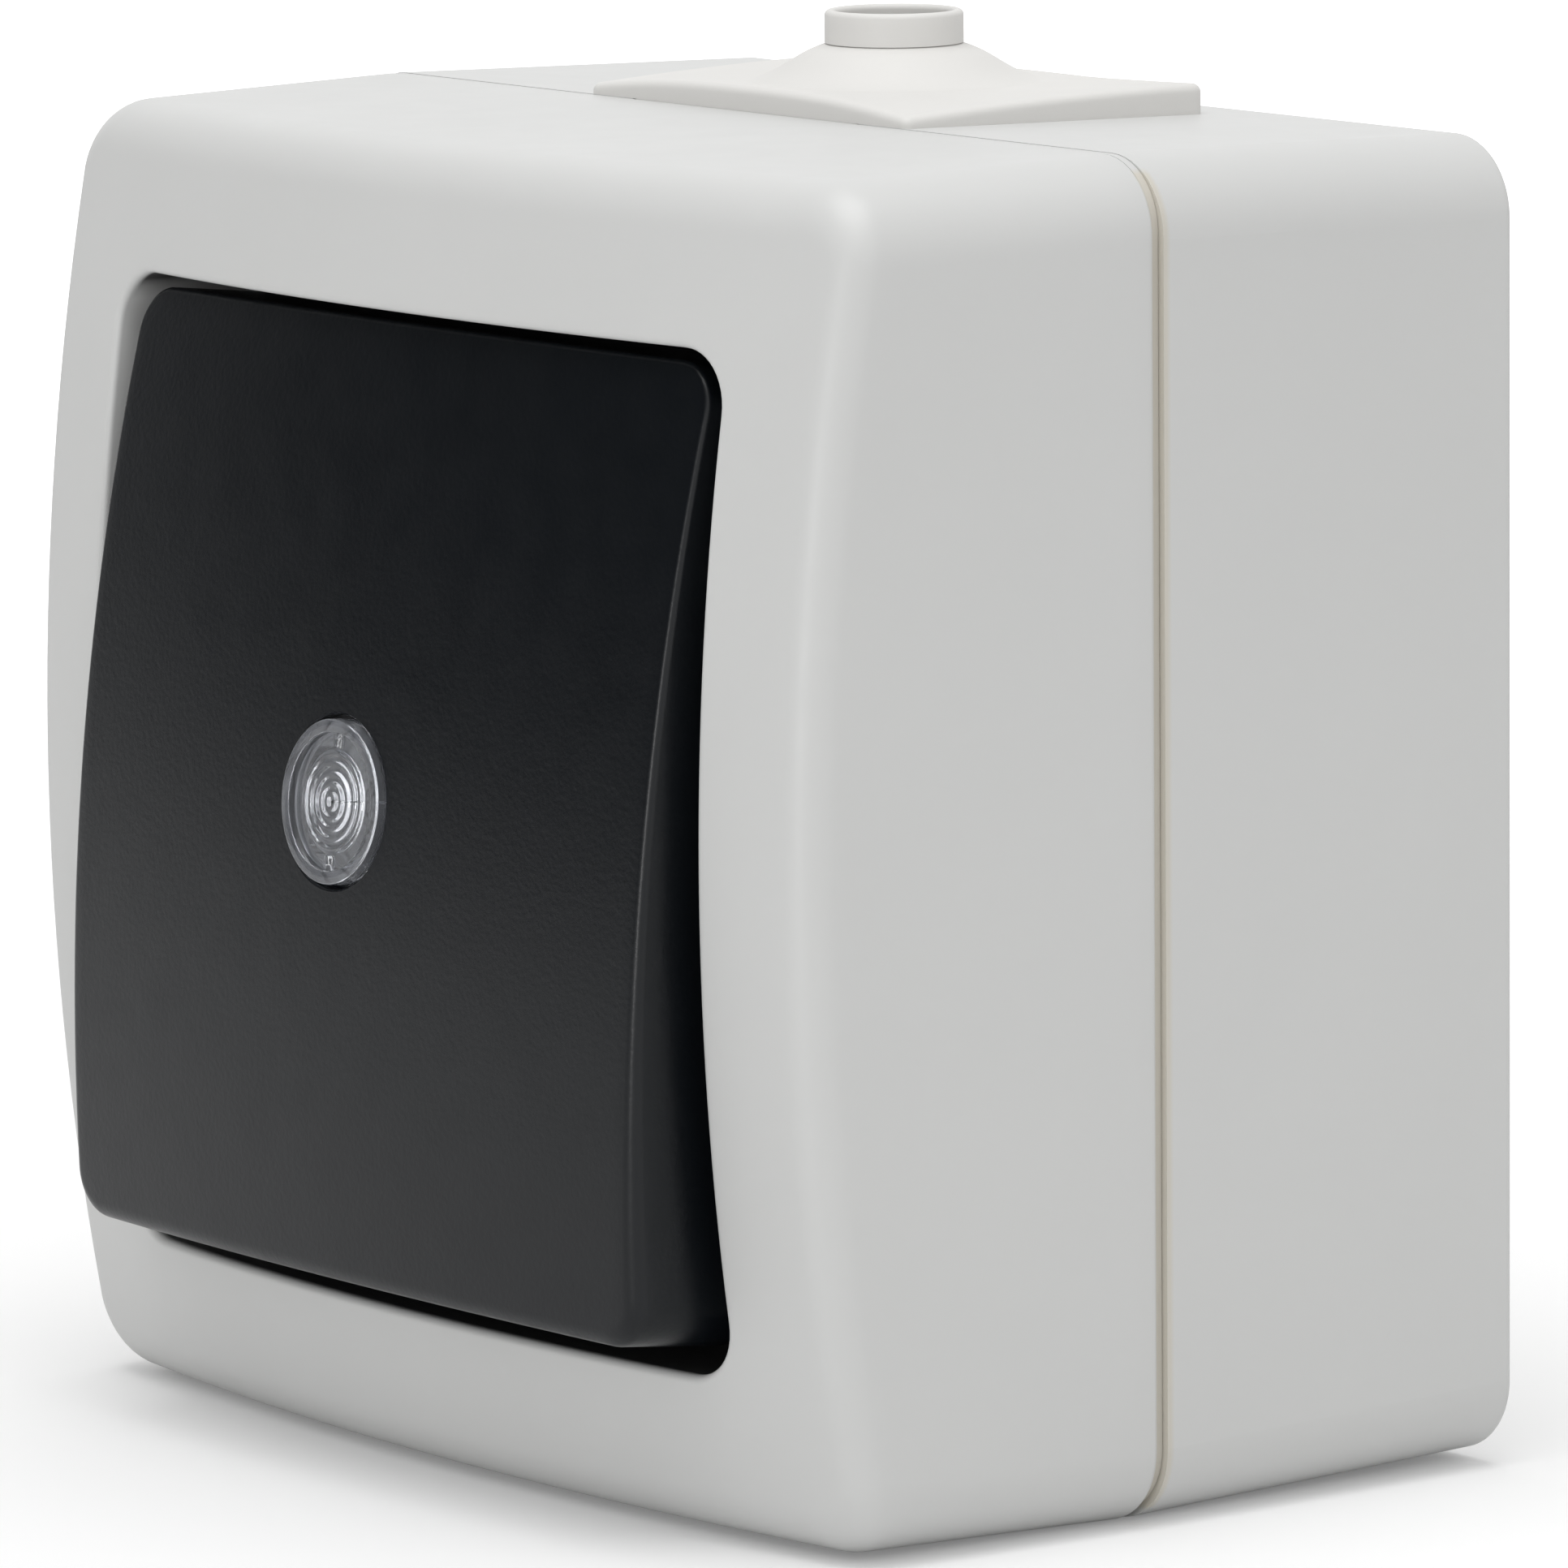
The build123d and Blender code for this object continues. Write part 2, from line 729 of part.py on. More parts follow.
with BuildPart() as common_contact:
    add(floor_strip(-strip_edge, 1))
    with BuildSketch(front(base_floor)):
        with Locations((-contact_x, 0)):
            Rectangle(strip_width, 2 * floor_strip_high)
    extrude(amount=strip)
    with BuildSketch(side(-contact_x)):
        with BuildLine():
            Line((-blade_tip, base_floor), (blade_tip, base_floor))
            Line((blade_tip, base_floor), (blade_tip, rock_axis_depth))
            ThreePointArc(
                (blade_tip, rock_axis_depth),
                (0, rock_axis_depth + blade_tip),
                (-blade_tip, rock_axis_depth),
            )
            Line((-blade_tip, rock_axis_depth), (-blade_tip, base_floor))
        make_face()
    extrude(amount=strip_width / 2, both=True)
common_contact.part.label = "common_contact"
export_step(common_contact.part, "parts/common_contact.step")

# Neutral contact: the lamp's other terminal
with BuildPart() as neutral_contact:
    add(floor_strip(-lead_half_track, -1))
neutral_contact.part.label = "neutral_contact"
export_step(neutral_contact.part, "parts/neutral_contact.step")

# Clamp springs: bent strips that press the wire against the terminal's bar
clamp_wall_z = base_height / 2 - base_wall - clamp_thickness / 2
clamp_low = base_floor + clamp_thickness
clamp_tip_z = bar_z + strip / 2 + clamp_thickness
clamp_tip_depth = clamp_low + clamp_rise
clamp_top_depth = base_floor + clamp_back_height


def clamp_springs(upward):
    """Two springs side by side, one for each terminal of a row."""
    with BuildPart() as springs:
        for x in (-terminal_x, terminal_x):
            with BuildSketch(side(x)):
                with BuildLine():
                    FilletPolyline(
                        (upward * clamp_wall_z, clamp_top_depth),
                        (upward * clamp_wall_z, base_floor + clamp_thickness),
                        (upward * clamp_tip_z, clamp_tip_depth),
                        radius=clamp_bend,
                    )
                trace(line_width=clamp_thickness)
            extrude(amount=strip_width / 2, both=True)
    return springs.part


with BuildPart() as upper_clamp_springs:
    add(clamp_springs(1))
upper_clamp_springs.part.label = "upper_clamp_springs"
export_step(upper_clamp_springs.part, "parts/upper_clamp_springs.step")

with BuildPart() as lower_clamp_springs:
    add(clamp_springs(-1))
lower_clamp_springs.part.label = "lower_clamp_springs"
export_step(lower_clamp_springs.part, "parts/lower_clamp_springs.step")

# Release keys: bar under the frame plate, head through it, two fingers on the springs
key_play = 0.2
chamber_x = base_width / 2 - side_wall
key_bar_width = 2 * (chamber_x - moving_gap)
key_top = base_front - key_play
key_low = key_top - key_bar_thickness
key_z = key_near + key_bar_height / 2
clamp_slope = clamp_rise / (clamp_wall_z - clamp_tip_z)
finger_end_depth = clamp_low + (clamp_wall_z - key_near) * clamp_slope + finger_gap
plate_front = base_front + plate_thickness


def release_key(upward):
    """Key that slides towards the wall and opens both springs of a row."""
    with BuildPart() as key:
        with BuildSketch(front(key_low)):
            with Locations((0, upward * key_z)):
                Rectangle(key_bar_width, key_bar_height)
        extrude(amount=key_bar_thickness)
        with BuildSketch(front(key_low)):
            with Locations((0, upward * key_z)):
                Rectangle(key_head_width, key_bar_height)
        extrude(amount=plate_front + key_head_proud - key_low)
        with BuildSketch(front(finger_end_depth)):
            with Locations((-terminal_x, upward * key_z), (terminal_x, upward * key_z)):
                Rectangle(finger_width, key_bar_height)
        extrude(amount=key_low - finger_end_depth)
    return key.part


with BuildPart() as upper_release_key:
    add(release_key(1))
upper_release_key.part.label = "upper_release_key"
export_step(upper_release_key.part, "parts/upper_release_key.step")

with BuildPart() as lower_release_key:
    add(release_key(-1))
lower_release_key.part.label = "lower_release_key"
export_step(lower_release_key.part, "parts/lower_release_key.step")

# Switch block: open moulding with ribs between its chambers, wire holes and screw ears
rib_top = key_low - key_travel - key_play
chamber_z = base_height / 2 - base_wall
bar_half = strip_width / 2 + fit
with BuildPart() as switch_base:
    with BuildSketch(front(base_depth)):
        RectangleRounded(base_width, base_height, base_corner)
    extrude(amount=base_front - base_depth)
    with BuildSketch(front(base_depth)):
        for sign in (1, -1):
            with Locations((sign * ear_offset, sign * ear_z)):
                Circle(ear_radius)
            with Locations((sign * ear_offset, sign * (ear_z - ear_reach))):
                Rectangle(2 * ear_radius, 2 * ear_reach)
    extrude(amount=ear_thickness)
    with BuildSketch(front(base_floor)):
        Rectangle(2 * chamber_x, 2 * chamber_z)
    extrude(amount=base_front - base_floor, mode=Mode.SUBTRACT)
    with BuildSketch(front(base_floor)):
        for sign in (1, -1):
            with Locations((0, sign * (chamber_near - rib / 2))):
                Rectangle(2 * chamber_x, rib)
            for x in (-rib_x, rib_x):
                with Locations((x, sign * (chamber_near + chamber_z) / 2)):
                    Rectangle(rib, chamber_z - chamber_near)
    extrude(amount=rib_top - base_floor)
    with BuildSketch(front(fixed_strip_top - strip)):
        with Locations((-contact_x, 0)):
            Rectangle(2 * bar_half, 2 * chamber_near)
    extrude(amount=rib_top, mode=Mode.SUBTRACT)
    with BuildSketch(front(base_floor)):
        with Locations((terminal_x, 0)):
            Rectangle(2 * bar_half, 2 * chamber_near)
    extrude(amount=strip + fit, mode=Mode.SUBTRACT)
    with BuildSketch(front(base_depth)):
        wire_z = bar_z + strip / 2 + wire_hole_radius
        with GridLocations(2 * terminal_x, 2 * wire_z, 2, 2):
            Circle(wire_hole_radius)
        with Locations(*ears_at):
            Circle(mechanism_screw_radius + fit)
    extrude(amount=base_floor - base_depth, mode=Mode.SUBTRACT)
    with BuildSketch(level(0)):
        with Locations((base_width / 2, hook_depth), (-base_width / 2, hook_depth)):
            Rectangle(2 * (hook_bite + fit), hook_height + 2 * fit)
    extrude(amount=hook_width / 2 + fit, both=True, mode=Mode.SUBTRACT)
switch_base.part.label = "switch_base"
export_step(switch_base.part, "parts/switch_base.step")

# Frame plate: cheeks with snap-in bearings, openings for tube, lamp and keys, side hooks
tube_swing = tube_end * math.sin(math.radians(half_swing))
cheek_x = cheek_inner + cheek_thickness / 2
arm_inner = base_width / 2 + fit
with BuildPart() as switch_frame:
    with BuildSketch(front(base_front)):
        RectangleRounded(base_width, base_height, base_corner)
        with Locations((-contact_x, 0)):
            Rectangle(
                2 * (tube_radius + moving_gap),
                2 * (tube_radius + tube_swing + moving_gap),
                mode=Mode.SUBTRACT,
            )
        Circle(holder_radius + fit, mode=Mode.SUBTRACT)
        with GridLocations(0, 2 * key_z, 1, 2):
            Rectangle(
                key_head_width + 2 * moving_gap, key_bar_height + 2 * moving_gap, mode=Mode.SUBTRACT
            )
    extrude(amount=plate_thickness)
    with BuildSketch(front(plate_front)):
        with GridLocations(2 * cheek_x, 0, 2, 1):
            Rectangle(cheek_thickness, 2 * cheek_half_height)
    extrude(amount=pivot_depth + cheek_top - plate_front)
    with BuildSketch(side(0)):
        with Locations((0, pivot_depth)):
            Circle(trunnion_radius + running_fit)
            Rectangle(snap_opening, 2 * cheek_half_height, align=(Align.CENTER, Align.MIN))
    extrude(amount=base_width / 2, both=True, mode=Mode.SUBTRACT)
    with BuildSketch(level(0)):
        for sign in (1, -1):
            with BuildLine():
                Polyline(
                    (sign * (arm_inner - arm_thickness), plate_front),
                    (sign * (arm_inner + arm_thickness), plate_front),
                    (sign * (arm_inner + arm_thickness), hook_depth - hook_height / 2),
                    (sign * (arm_inner - hook_bite), hook_depth),
                    (sign * (arm_inner - hook_bite), hook_depth + hook_height / 2),
                    (sign * arm_inner, hook_depth + hook_height / 2),
                    (sign * arm_inner, base_front),
                    (sign * (arm_inner - arm_thickness), base_front),
                    close=True,
                )
            make_face()
    extrude(amount=hook_width / 2, both=True)
switch_frame.part.label = "switch_frame"
export_step(switch_frame.part, "parts/switch_frame.step")

# Frame gasket: ring between the frame plate and the cover's tray
with BuildPart() as frame_gasket:
    with BuildSketch(front(plate_front)):
        RectangleRounded(
            base_width - 2 * gasket_inset, base_height - 2 * gasket_inset, base_corner
        )
        RectangleRounded(
            tray_opening_width + 2 * gasket_inset,
            tray_opening_height + 2 * gasket_inset,
            tray_opening_radius,
            mode=Mode.SUBTRACT,
        )
    extrude(amount=tray_rear - plate_front)
frame_gasket.part.label = "frame_gasket"
export_step(frame_gasket.part, "parts/frame_gasket.step")

# Lamp holder: flanged stalk through the frame plate, with the lamp's socket
with BuildPart() as lamp_holder:
    with BuildSketch(front(holder_end_depth)):
        Circle(holder_radius)
    extrude(amount=holder_top_depth - holder_end_depth)
    with BuildSketch(front(plate_front)):
        Circle(holder_flange_radius)
    extrude(amount=holder_flange)
    with BuildSketch(front(lamp_seat_depth)):
        Circle(lamp_radius + fit)
    extrude(amount=holder_top_depth - lamp_seat_depth, mode=Mode.SUBTRACT)
    with BuildSketch(front(holder_end_depth)):
        with GridLocations(0, 2 * lead_spread, 1, 2):
            Circle(lead_radius + fit)
    extrude(amount=lamp_seat_depth - holder_end_depth, mode=Mode.SUBTRACT)
lamp_holder.part.label = "lamp_holder"
export_step(lamp_holder.part, "parts/lamp_holder.step")

# Glow lamp: domed glass bulb in the holder
with BuildPart() as glow_lamp:
    with BuildSketch(front(lamp_seat_depth)):
        Circle(lamp_radius)
    extrude(amount=lamp_tip_depth - lamp_seat_depth)
    fillet(glow_lamp.faces().sort_by(Axis.Y)[0].edges(), lamp_rounding)
glow_lamp.part.label = "glow_lamp"
export_step(glow_lamp.part, "parts/glow_lamp.step")

# Lamp leads: two straight wires from the lamp to the floor strips
with BuildPart() as lamp_leads:
    with BuildSketch(front(base_floor + strip)):
        with GridLocations(0, 2 * lead_spread, 1, 2):
            Circle(lead_radius)
    extrude(amount=lamp_seat_depth - base_floor - strip)
lamp_leads.part.label = "lamp_leads"
export_step(lamp_leads.part, "parts/lamp_leads.step")


def screws(places, seat_depth, shank_radius, length):
    """Pan-head screws with a cross recess, seated at one depth."""
    with BuildPart() as group:
        with BuildSketch(front(seat_depth - length)):
            with Locations(*places):
                Circle(shank_radius)
        extrude(amount=length)
        with BuildSketch(front(seat_depth)):
            with Locations(*places):
                Circle(screw_head_radius)
        extrude(amount=screw_head_height)
        with BuildSketch(front(seat_depth + screw_head_height - recess_depth)):
            with Locations(*places):
                Rectangle(screw_head_radius, recess_width)
                Rectangle(recess_width, screw_head_radius)
        extrude(amount=recess_depth, mode=Mode.SUBTRACT)
    return group.part


# Screws: two hold the cover, two hold the switch block
with BuildPart() as cover_screws:
    add(screws(cover_screws_at, head_seat_depth, screw_radius, screw_length))
cover_screws.part.label = "cover_screws"
export_step(cover_screws.part, "parts/cover_screws.step")

with BuildPart() as mechanism_screws:
    add(screws(ears_at, mechanism_head_depth, mechanism_screw_radius, mechanism_screw_length))
mechanism_screws.part.label = "mechanism_screws"
export_step(mechanism_screws.part, "parts/mechanism_screws.step")
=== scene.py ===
import bmesh
import bpy
import json
import math
import numpy as np
from mathutils import Matrix, Vector

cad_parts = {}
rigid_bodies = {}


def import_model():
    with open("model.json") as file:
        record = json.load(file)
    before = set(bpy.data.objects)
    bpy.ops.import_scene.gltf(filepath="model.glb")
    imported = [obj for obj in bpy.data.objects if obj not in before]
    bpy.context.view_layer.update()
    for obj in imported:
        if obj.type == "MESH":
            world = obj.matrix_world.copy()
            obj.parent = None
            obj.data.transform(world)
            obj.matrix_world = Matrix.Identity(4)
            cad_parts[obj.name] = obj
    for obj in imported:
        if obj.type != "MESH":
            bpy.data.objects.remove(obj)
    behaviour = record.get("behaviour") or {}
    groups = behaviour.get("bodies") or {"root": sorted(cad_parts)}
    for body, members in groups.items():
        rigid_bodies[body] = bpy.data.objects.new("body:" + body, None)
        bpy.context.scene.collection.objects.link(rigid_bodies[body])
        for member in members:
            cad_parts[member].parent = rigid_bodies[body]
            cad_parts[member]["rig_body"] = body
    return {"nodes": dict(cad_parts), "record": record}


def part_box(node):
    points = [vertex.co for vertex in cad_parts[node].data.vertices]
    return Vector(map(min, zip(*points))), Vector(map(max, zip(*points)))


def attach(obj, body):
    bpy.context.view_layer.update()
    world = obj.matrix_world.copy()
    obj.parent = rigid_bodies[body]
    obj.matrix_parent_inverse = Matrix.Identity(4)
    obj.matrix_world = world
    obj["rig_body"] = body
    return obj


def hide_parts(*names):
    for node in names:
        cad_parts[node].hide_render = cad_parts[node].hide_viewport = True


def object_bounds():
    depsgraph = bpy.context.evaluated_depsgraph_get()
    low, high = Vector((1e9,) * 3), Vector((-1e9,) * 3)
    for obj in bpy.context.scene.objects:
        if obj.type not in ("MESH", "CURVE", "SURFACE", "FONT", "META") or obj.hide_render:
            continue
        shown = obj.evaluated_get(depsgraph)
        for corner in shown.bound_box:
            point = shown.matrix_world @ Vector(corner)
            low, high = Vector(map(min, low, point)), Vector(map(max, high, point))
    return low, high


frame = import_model()
cad_low, cad_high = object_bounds()

# Lengths below are in millimetres, in the frame of the CAD part, and turn into metres at a mesh or an object
MM = 0.001

# Camera: angles in degrees, focal length and image centre in the photograph's pixels
IMAGE_SIDE = 1932
SENSOR = 36.0
CAMERA_AZIMUTH = 53.909
CAMERA_ELEVATION = 7.218
CAMERA_ROLL = -0.555
CAMERA_OFFSET = (29.19, 12.025, 689.615)
FOCAL_PIXELS = 14680.2
CENTRE_PIXEL = (734.9, 642.8)
CLIP_RANGE = (50, 20000)

# Light: the world is darker in gloss towards the dark side, and the floor glows more with distance
WORLD_STRENGTH = 0.6
GLOSS_BRIGHT = 1.0
GLOSS_DARK = 0.03
DARK_SIDE = (-0.52, -0.78, 0.35)
DARK_FROM = 0.35
DARK_FULL = 0.9
LAMP_AIM = (0, -26, 0)
# Each lamp's name, place, size and power
LAMPS = (
    ("key", (60, -110, 620), 520, 2.35),
    ("fill", (260, -600, 20), 130, 0.52),
    ("side", (620, 60, 180), 420, 0.15),
)
FLOOR_HALF_SIZE = 3000.0
FLOOR_NEAR = 100.0
FLOOR_FAR = 500.0
FLOOR_LIFT_NEAR = 0.16
FLOOR_LIFT_FAR = 0.8
FLOOR_GREY = 0.86


def new_object(name, data):
    """Object of a mesh, lamp or camera, in the scene's collection."""
    made = bpy.data.objects.new(name, data)
    bpy.context.scene.collection.objects.link(made)
    return made


# Materials

NOISE_RANGE = (0.3, 0.7)


def new_material(name):
    """Material with a Principled shader, and its node tree."""
    material = bpy.data.materials.new(name)
    material.use_nodes = True
    tree = material.node_tree
    return material, tree, tree.nodes["Principled BSDF"]


def noise(tree, size, detail=2.0):
    """Noise texture whose grains are about size millimetres, in the frame's coordinates."""
    coordinates = tree.nodes.new("ShaderNodeTexCoord")
    texture = tree.nodes.new("ShaderNodeTexNoise")
    texture.inputs["Scale"].default_value = 1 / (size * MM)
    texture.inputs["Detail"].default_value = detail
    tree.links.new(coordinates.outputs["Object"], texture.inputs["Vector"])
    return texture.outputs["Fac"]


def spread(tree, value, low, high, out_low, out_high):
    """Map a value's range to another one."""
    node = tree.nodes.new("ShaderNodeMapRange")
    node.inputs["From Min"].default_value = low
    node.inputs["From Max"].default_value = high
    node.inputs["To Min"].default_value = out_low
    node.inputs["To Max"].default_value = out_high
    tree.links.new(value, node.inputs["Value"])
    return node.outputs["Result"]


def blend_colours(tree, factor, first, second):
    """Mix two colours, each a constant or a socket."""
    node = tree.nodes.new("ShaderNodeMix")
    node.data_type = "RGBA"
    tree.links.new(factor, node.inputs["Factor"])
    for socket, colour in (("A", first), ("B", second)):
        target = [s for s in node.inputs if s.name == socket and s.type == "RGBA"][0]
        if isinstance(colour, bpy.types.NodeSocket):
            tree.links.new(colour, target)
        else:
            target.default_value = (*colour, 1)
    return [s for s in node.outputs if s.type == "RGBA"][0]


def within(tree, value, edge, side, soft):
    """1 where a value in metres lies on the inner side of an edge in millimetres, with a soft border."""
    return spread(tree, value, (edge - side * soft / 2) * MM, (edge + side * soft / 2) * MM, 0, 1)


def number_math(tree, operation, first, second):
    """Result of a calculation with two numbers."""
    node = tree.nodes.new("ShaderNodeMath")
    node.operation = operation
    tree.links.new(first, node.inputs[0])
    tree.links.new(second, node.inputs[1])
    return node.outputs[0]


def multiplied(tree, shares):
    """Product of several shares."""
    product = shares[0]
    for share in shares[1:]:
        product = number_math(tree, "MULTIPLY", product, share)
    return product


def vector_math(tree, operation, first, second):
    """Result of a calculation with two vectors, of which the second may be a constant."""
    node = tree.nodes.new("ShaderNodeVectorMath")
    node.operation = operation
    tree.links.new(first, node.inputs[0])
    if isinstance(second, bpy.types.NodeSocket):
        tree.links.new(second, node.inputs[1])
    else:
        node.inputs[1].default_value = second
    return node.outputs["Value" if operation == "DOT_PRODUCT" else "Vector"]


def grain(tree, shader, layers):
    """Bump of several noise layers, each of a size and a depth in millimetres."""
    normal = None
    for size, depth in layers:
        bump = tree.nodes.new("ShaderNodeBump")
        bump.inputs["Strength"].default_value = 1.0
        bump.inputs["Distance"].default_value = depth * MM
        tree.links.new(noise(tree, size), bump.inputs["Height"])
        if normal:
            tree.links.new(normal, bump.inputs["Normal"])
        normal = bump.outputs["Normal"]
    tree.links.new(normal, shader.inputs["Normal"])


def moulded(name, colour, roughness, grains, mottle=0.03, cloud=14.0, specks=None):
    """Moulded plastic or rubber: cloudy colour, uneven roughness, a fine grain and perhaps specks."""
    material, tree, shader = new_material(name)
    darker = [c * (1 - mottle) for c in colour]
    lighter = [min(1.0, c * (1 + mottle)) for c in colour]
    clouds = spread(tree, noise(tree, cloud, 4.0), *NOISE_RANGE, 0, 1)
    tint = blend_colours(tree, clouds, darker, lighter)
    if specks:
        speck_colour, speck_size, speck_pitch = specks
        cells = tree.nodes.new("ShaderNodeTexVoronoi")
        coordinates = tree.nodes.new("ShaderNodeTexCoord")
        cells.inputs["Scale"].default_value = 1 / (speck_pitch * MM)
        tree.links.new(coordinates.outputs["Object"], cells.inputs["Vector"])
        near = spread(tree, cells.outputs["Distance"], 0, speck_size / speck_pitch, 1, 0)
        tint = blend_colours(tree, near, tint, speck_colour)
    tree.links.new(tint, shader.inputs["Base Color"])
    uneven = spread(tree, noise(tree, 3.0, 3.0), *NOISE_RANGE, roughness * 0.93, roughness * 1.07)
    tree.links.new(uneven, shader.inputs["Roughness"])
    grain(tree, shader, grains)
    return material


def metal(name, colour, roughness, streak=0.8):
    """Sheet metal or wire: uneven roughness and colour, and a fine drawn grain."""
    material, tree, shader = new_material(name)
    shader.inputs["Metallic"].default_value = 1.0
    darker = [c * 0.86 for c in colour]
    tree.links.new(
        blend_colours(tree, noise(tree, 2.5, 4.0), darker, colour), shader.inputs["Base Color"]
    )
    uneven = spread(tree, noise(tree, streak, 3.0), *NOISE_RANGE, roughness * 0.8, roughness * 1.25)
    tree.links.new(uneven, shader.inputs["Roughness"])
    grain(tree, shader, ((0.3, 0.004),))
    return material


def clear(name, colour, roughness, ior, clearness=1.0):
    """Clear plastic or glass with a faint haze."""
    material, tree, shader = new_material(name)
    shader.inputs["Transmission Weight"].default_value = clearness
    shader.inputs["IOR"].default_value = ior
    tree.links.new(
        blend_colours(tree, noise(tree, 2.0), [c * 0.97 for c in colour], colour),
        shader.inputs["Base Color"],
    )
    haze = spread(tree, noise(tree, 0.8), *NOISE_RANGE, roughness * 0.6, roughness * 1.6)
    tree.links.new(haze, shader.inputs["Roughness"])
    return material


# Specks: colour, size and distance from one to the next
DUST = ((0.16, 0.14, 0.12), 0.055, 19.0)
LINT = ((0.25, 0.26, 0.27), 0.05, 9.0)
ROCKER_SPECULAR = 0.36
MATERIALS = {
    "housing_plastic": moulded(
        "housing_plastic", (0.615, 0.618, 0.61), 0.42, ((0.5, 0.003), (4.0, 0.006)), 0.008, 14.0, DUST
    ),
    "seal_rubber": moulded("seal_rubber", (0.02, 0.02, 0.02), 0.6, ((0.3, 0.01),)),
    "gland_rubber": moulded("gland_rubber", (0.705, 0.696, 0.676), 0.55, ((0.4, 0.006), (3.0, 0.02)), 0.015),
    "rocker_plastic": moulded(
        "rocker_plastic", (0.0034, 0.0046, 0.0064), 0.31, ((0.35, 0.012), (2.5, 0.008)), 0.05, 9.0, LINT
    ),
    "clear_lens": clear("clear_lens", (0.92, 0.945, 1.0), 0.05, 1.49, 0.95),
    "carrier_plastic": moulded("carrier_plastic", (0.7, 0.7, 0.68), 0.4, ((0.6, 0.004),)),
    "block_plastic": moulded("block_plastic", (0.22, 0.23, 0.24), 0.5, ((0.5, 0.006),)),
    "key_plastic": moulded("key_plastic", (0.5, 0.15, 0.02), 0.4, ((0.5, 0.004),)),
    "contact_brass": metal("contact_brass", (0.72, 0.5, 0.22), 0.3),
    "spring_steel": metal("spring_steel", (0.6, 0.6, 0.6), 0.25),
    "screw_steel": metal("screw_steel", (0.62, 0.62, 0.6), 0.35),
    "lamp_glass": clear("lamp_glass", (0.95, 0.93, 0.9), 0.04, 1.5),
}

rocker_shader = MATERIALS["rocker_plastic"].node_tree.nodes["Principled BSDF"]
rocker_shader.inputs["Specular IOR Level"].default_value = ROCKER_SPECULAR

for part in frame["record"]["subparts"]:
    body = frame["nodes"][part["node"]]
    body.data.materials.clear()
    body.data.materials.append(MATERIALS[part["material_slot"]])


# Shells made of loops: each is an array of (x, up, depth or height), and all have as many points

MERGE_DISTANCE = 1e-7
CORNER_STEPS = 12
SIDE_STEPS = 28
LOOP_POINTS = 4 * (CORNER_STEPS + SIDE_STEPS)

# An edge's arc is found in rounds, with the front's slope taken over a short probe
FOOT_ROUNDS = 6
ARC_ROUNDS = 4
PROBE = 0.01


def rounded_loop(half_width, half_height, radii, centre=(0, 0)):
    """Points and outward directions round a rounded rectangle; radii is one radius or one for each corner."""
    if not hasattr(radii, "__len__"):
        radii = (radii,) * 4
    corners, turns = [], []
    for quarter, radius in enumerate(radii):
        around = np.radians(90 * quarter + np.linspace(0, 90, CORNER_STEPS + 1))
        directions = np.stack([np.cos(around), np.sin(around)], 1)
        middle = math.radians(90 * quarter + 45)
        hub = np.array(
            [
                math.copysign(half_width - radius, math.cos(middle)),
                math.copysign(half_height - radius, math.sin(middle)),
            ]
        )
        corners.append(hub + radius * directions)
        turns.append(directions)
    points, outward = [], []
    share = np.linspace(0, 1, SIDE_STEPS + 1)[1:-1, None]
    for quarter in range(4):
        end, start = corners[quarter][-1], corners[(quarter + 1) % 4][0]
        points += [corners[quarter], end + share * (start - end)]
        outward += [turns[quarter], np.repeat(turns[quarter][-1:], SIDE_STEPS - 1, 0)]
    return np.concatenate(points) + np.array(centre), np.concatenate(outward)


def circle_loop(radius, like, centre=(0, 0)):
    """Circle whose points lie in the same directions from its centre as those of another loop."""
    spokes = like - np.array(centre)
    return np.array(centre) + radius * spokes / np.linalg.norm(spokes, axis=1)[:, None]


def at(points, depth):
    """Loop at a depth, which is one number or one for each point."""
    return np.column_stack([points, np.broadcast_to(depth, len(points))])


def between(first, last, steps, surface=None):
    """Loops strictly between two loops, laid on a surface if one is given."""
    made = []
    for step in range(1, steps):
        loop = first + (last - first) * step / steps
        if surface:
            loop = at(loop[:, :2], surface(loop[:, :2]))
        made.append(loop)
    return made


def pillow(crest, bow_across, bow_upright, half_width, half_height):
    """Depth of a doubly curved front over a point, as in the CAD part."""
    radius_across = (half_width**2 + bow_across**2) / (2 * bow_across)
    radius_upright = (half_height**2 + bow_upright**2) / (2 * bow_upright)

    def depth(points):
        arm = radius_upright + np.sqrt(radius_across**2 - points[:, 0] ** 2) - radius_across
        return crest - radius_upright + np.sqrt(arm**2 - points[:, 1] ** 2)

    return depth


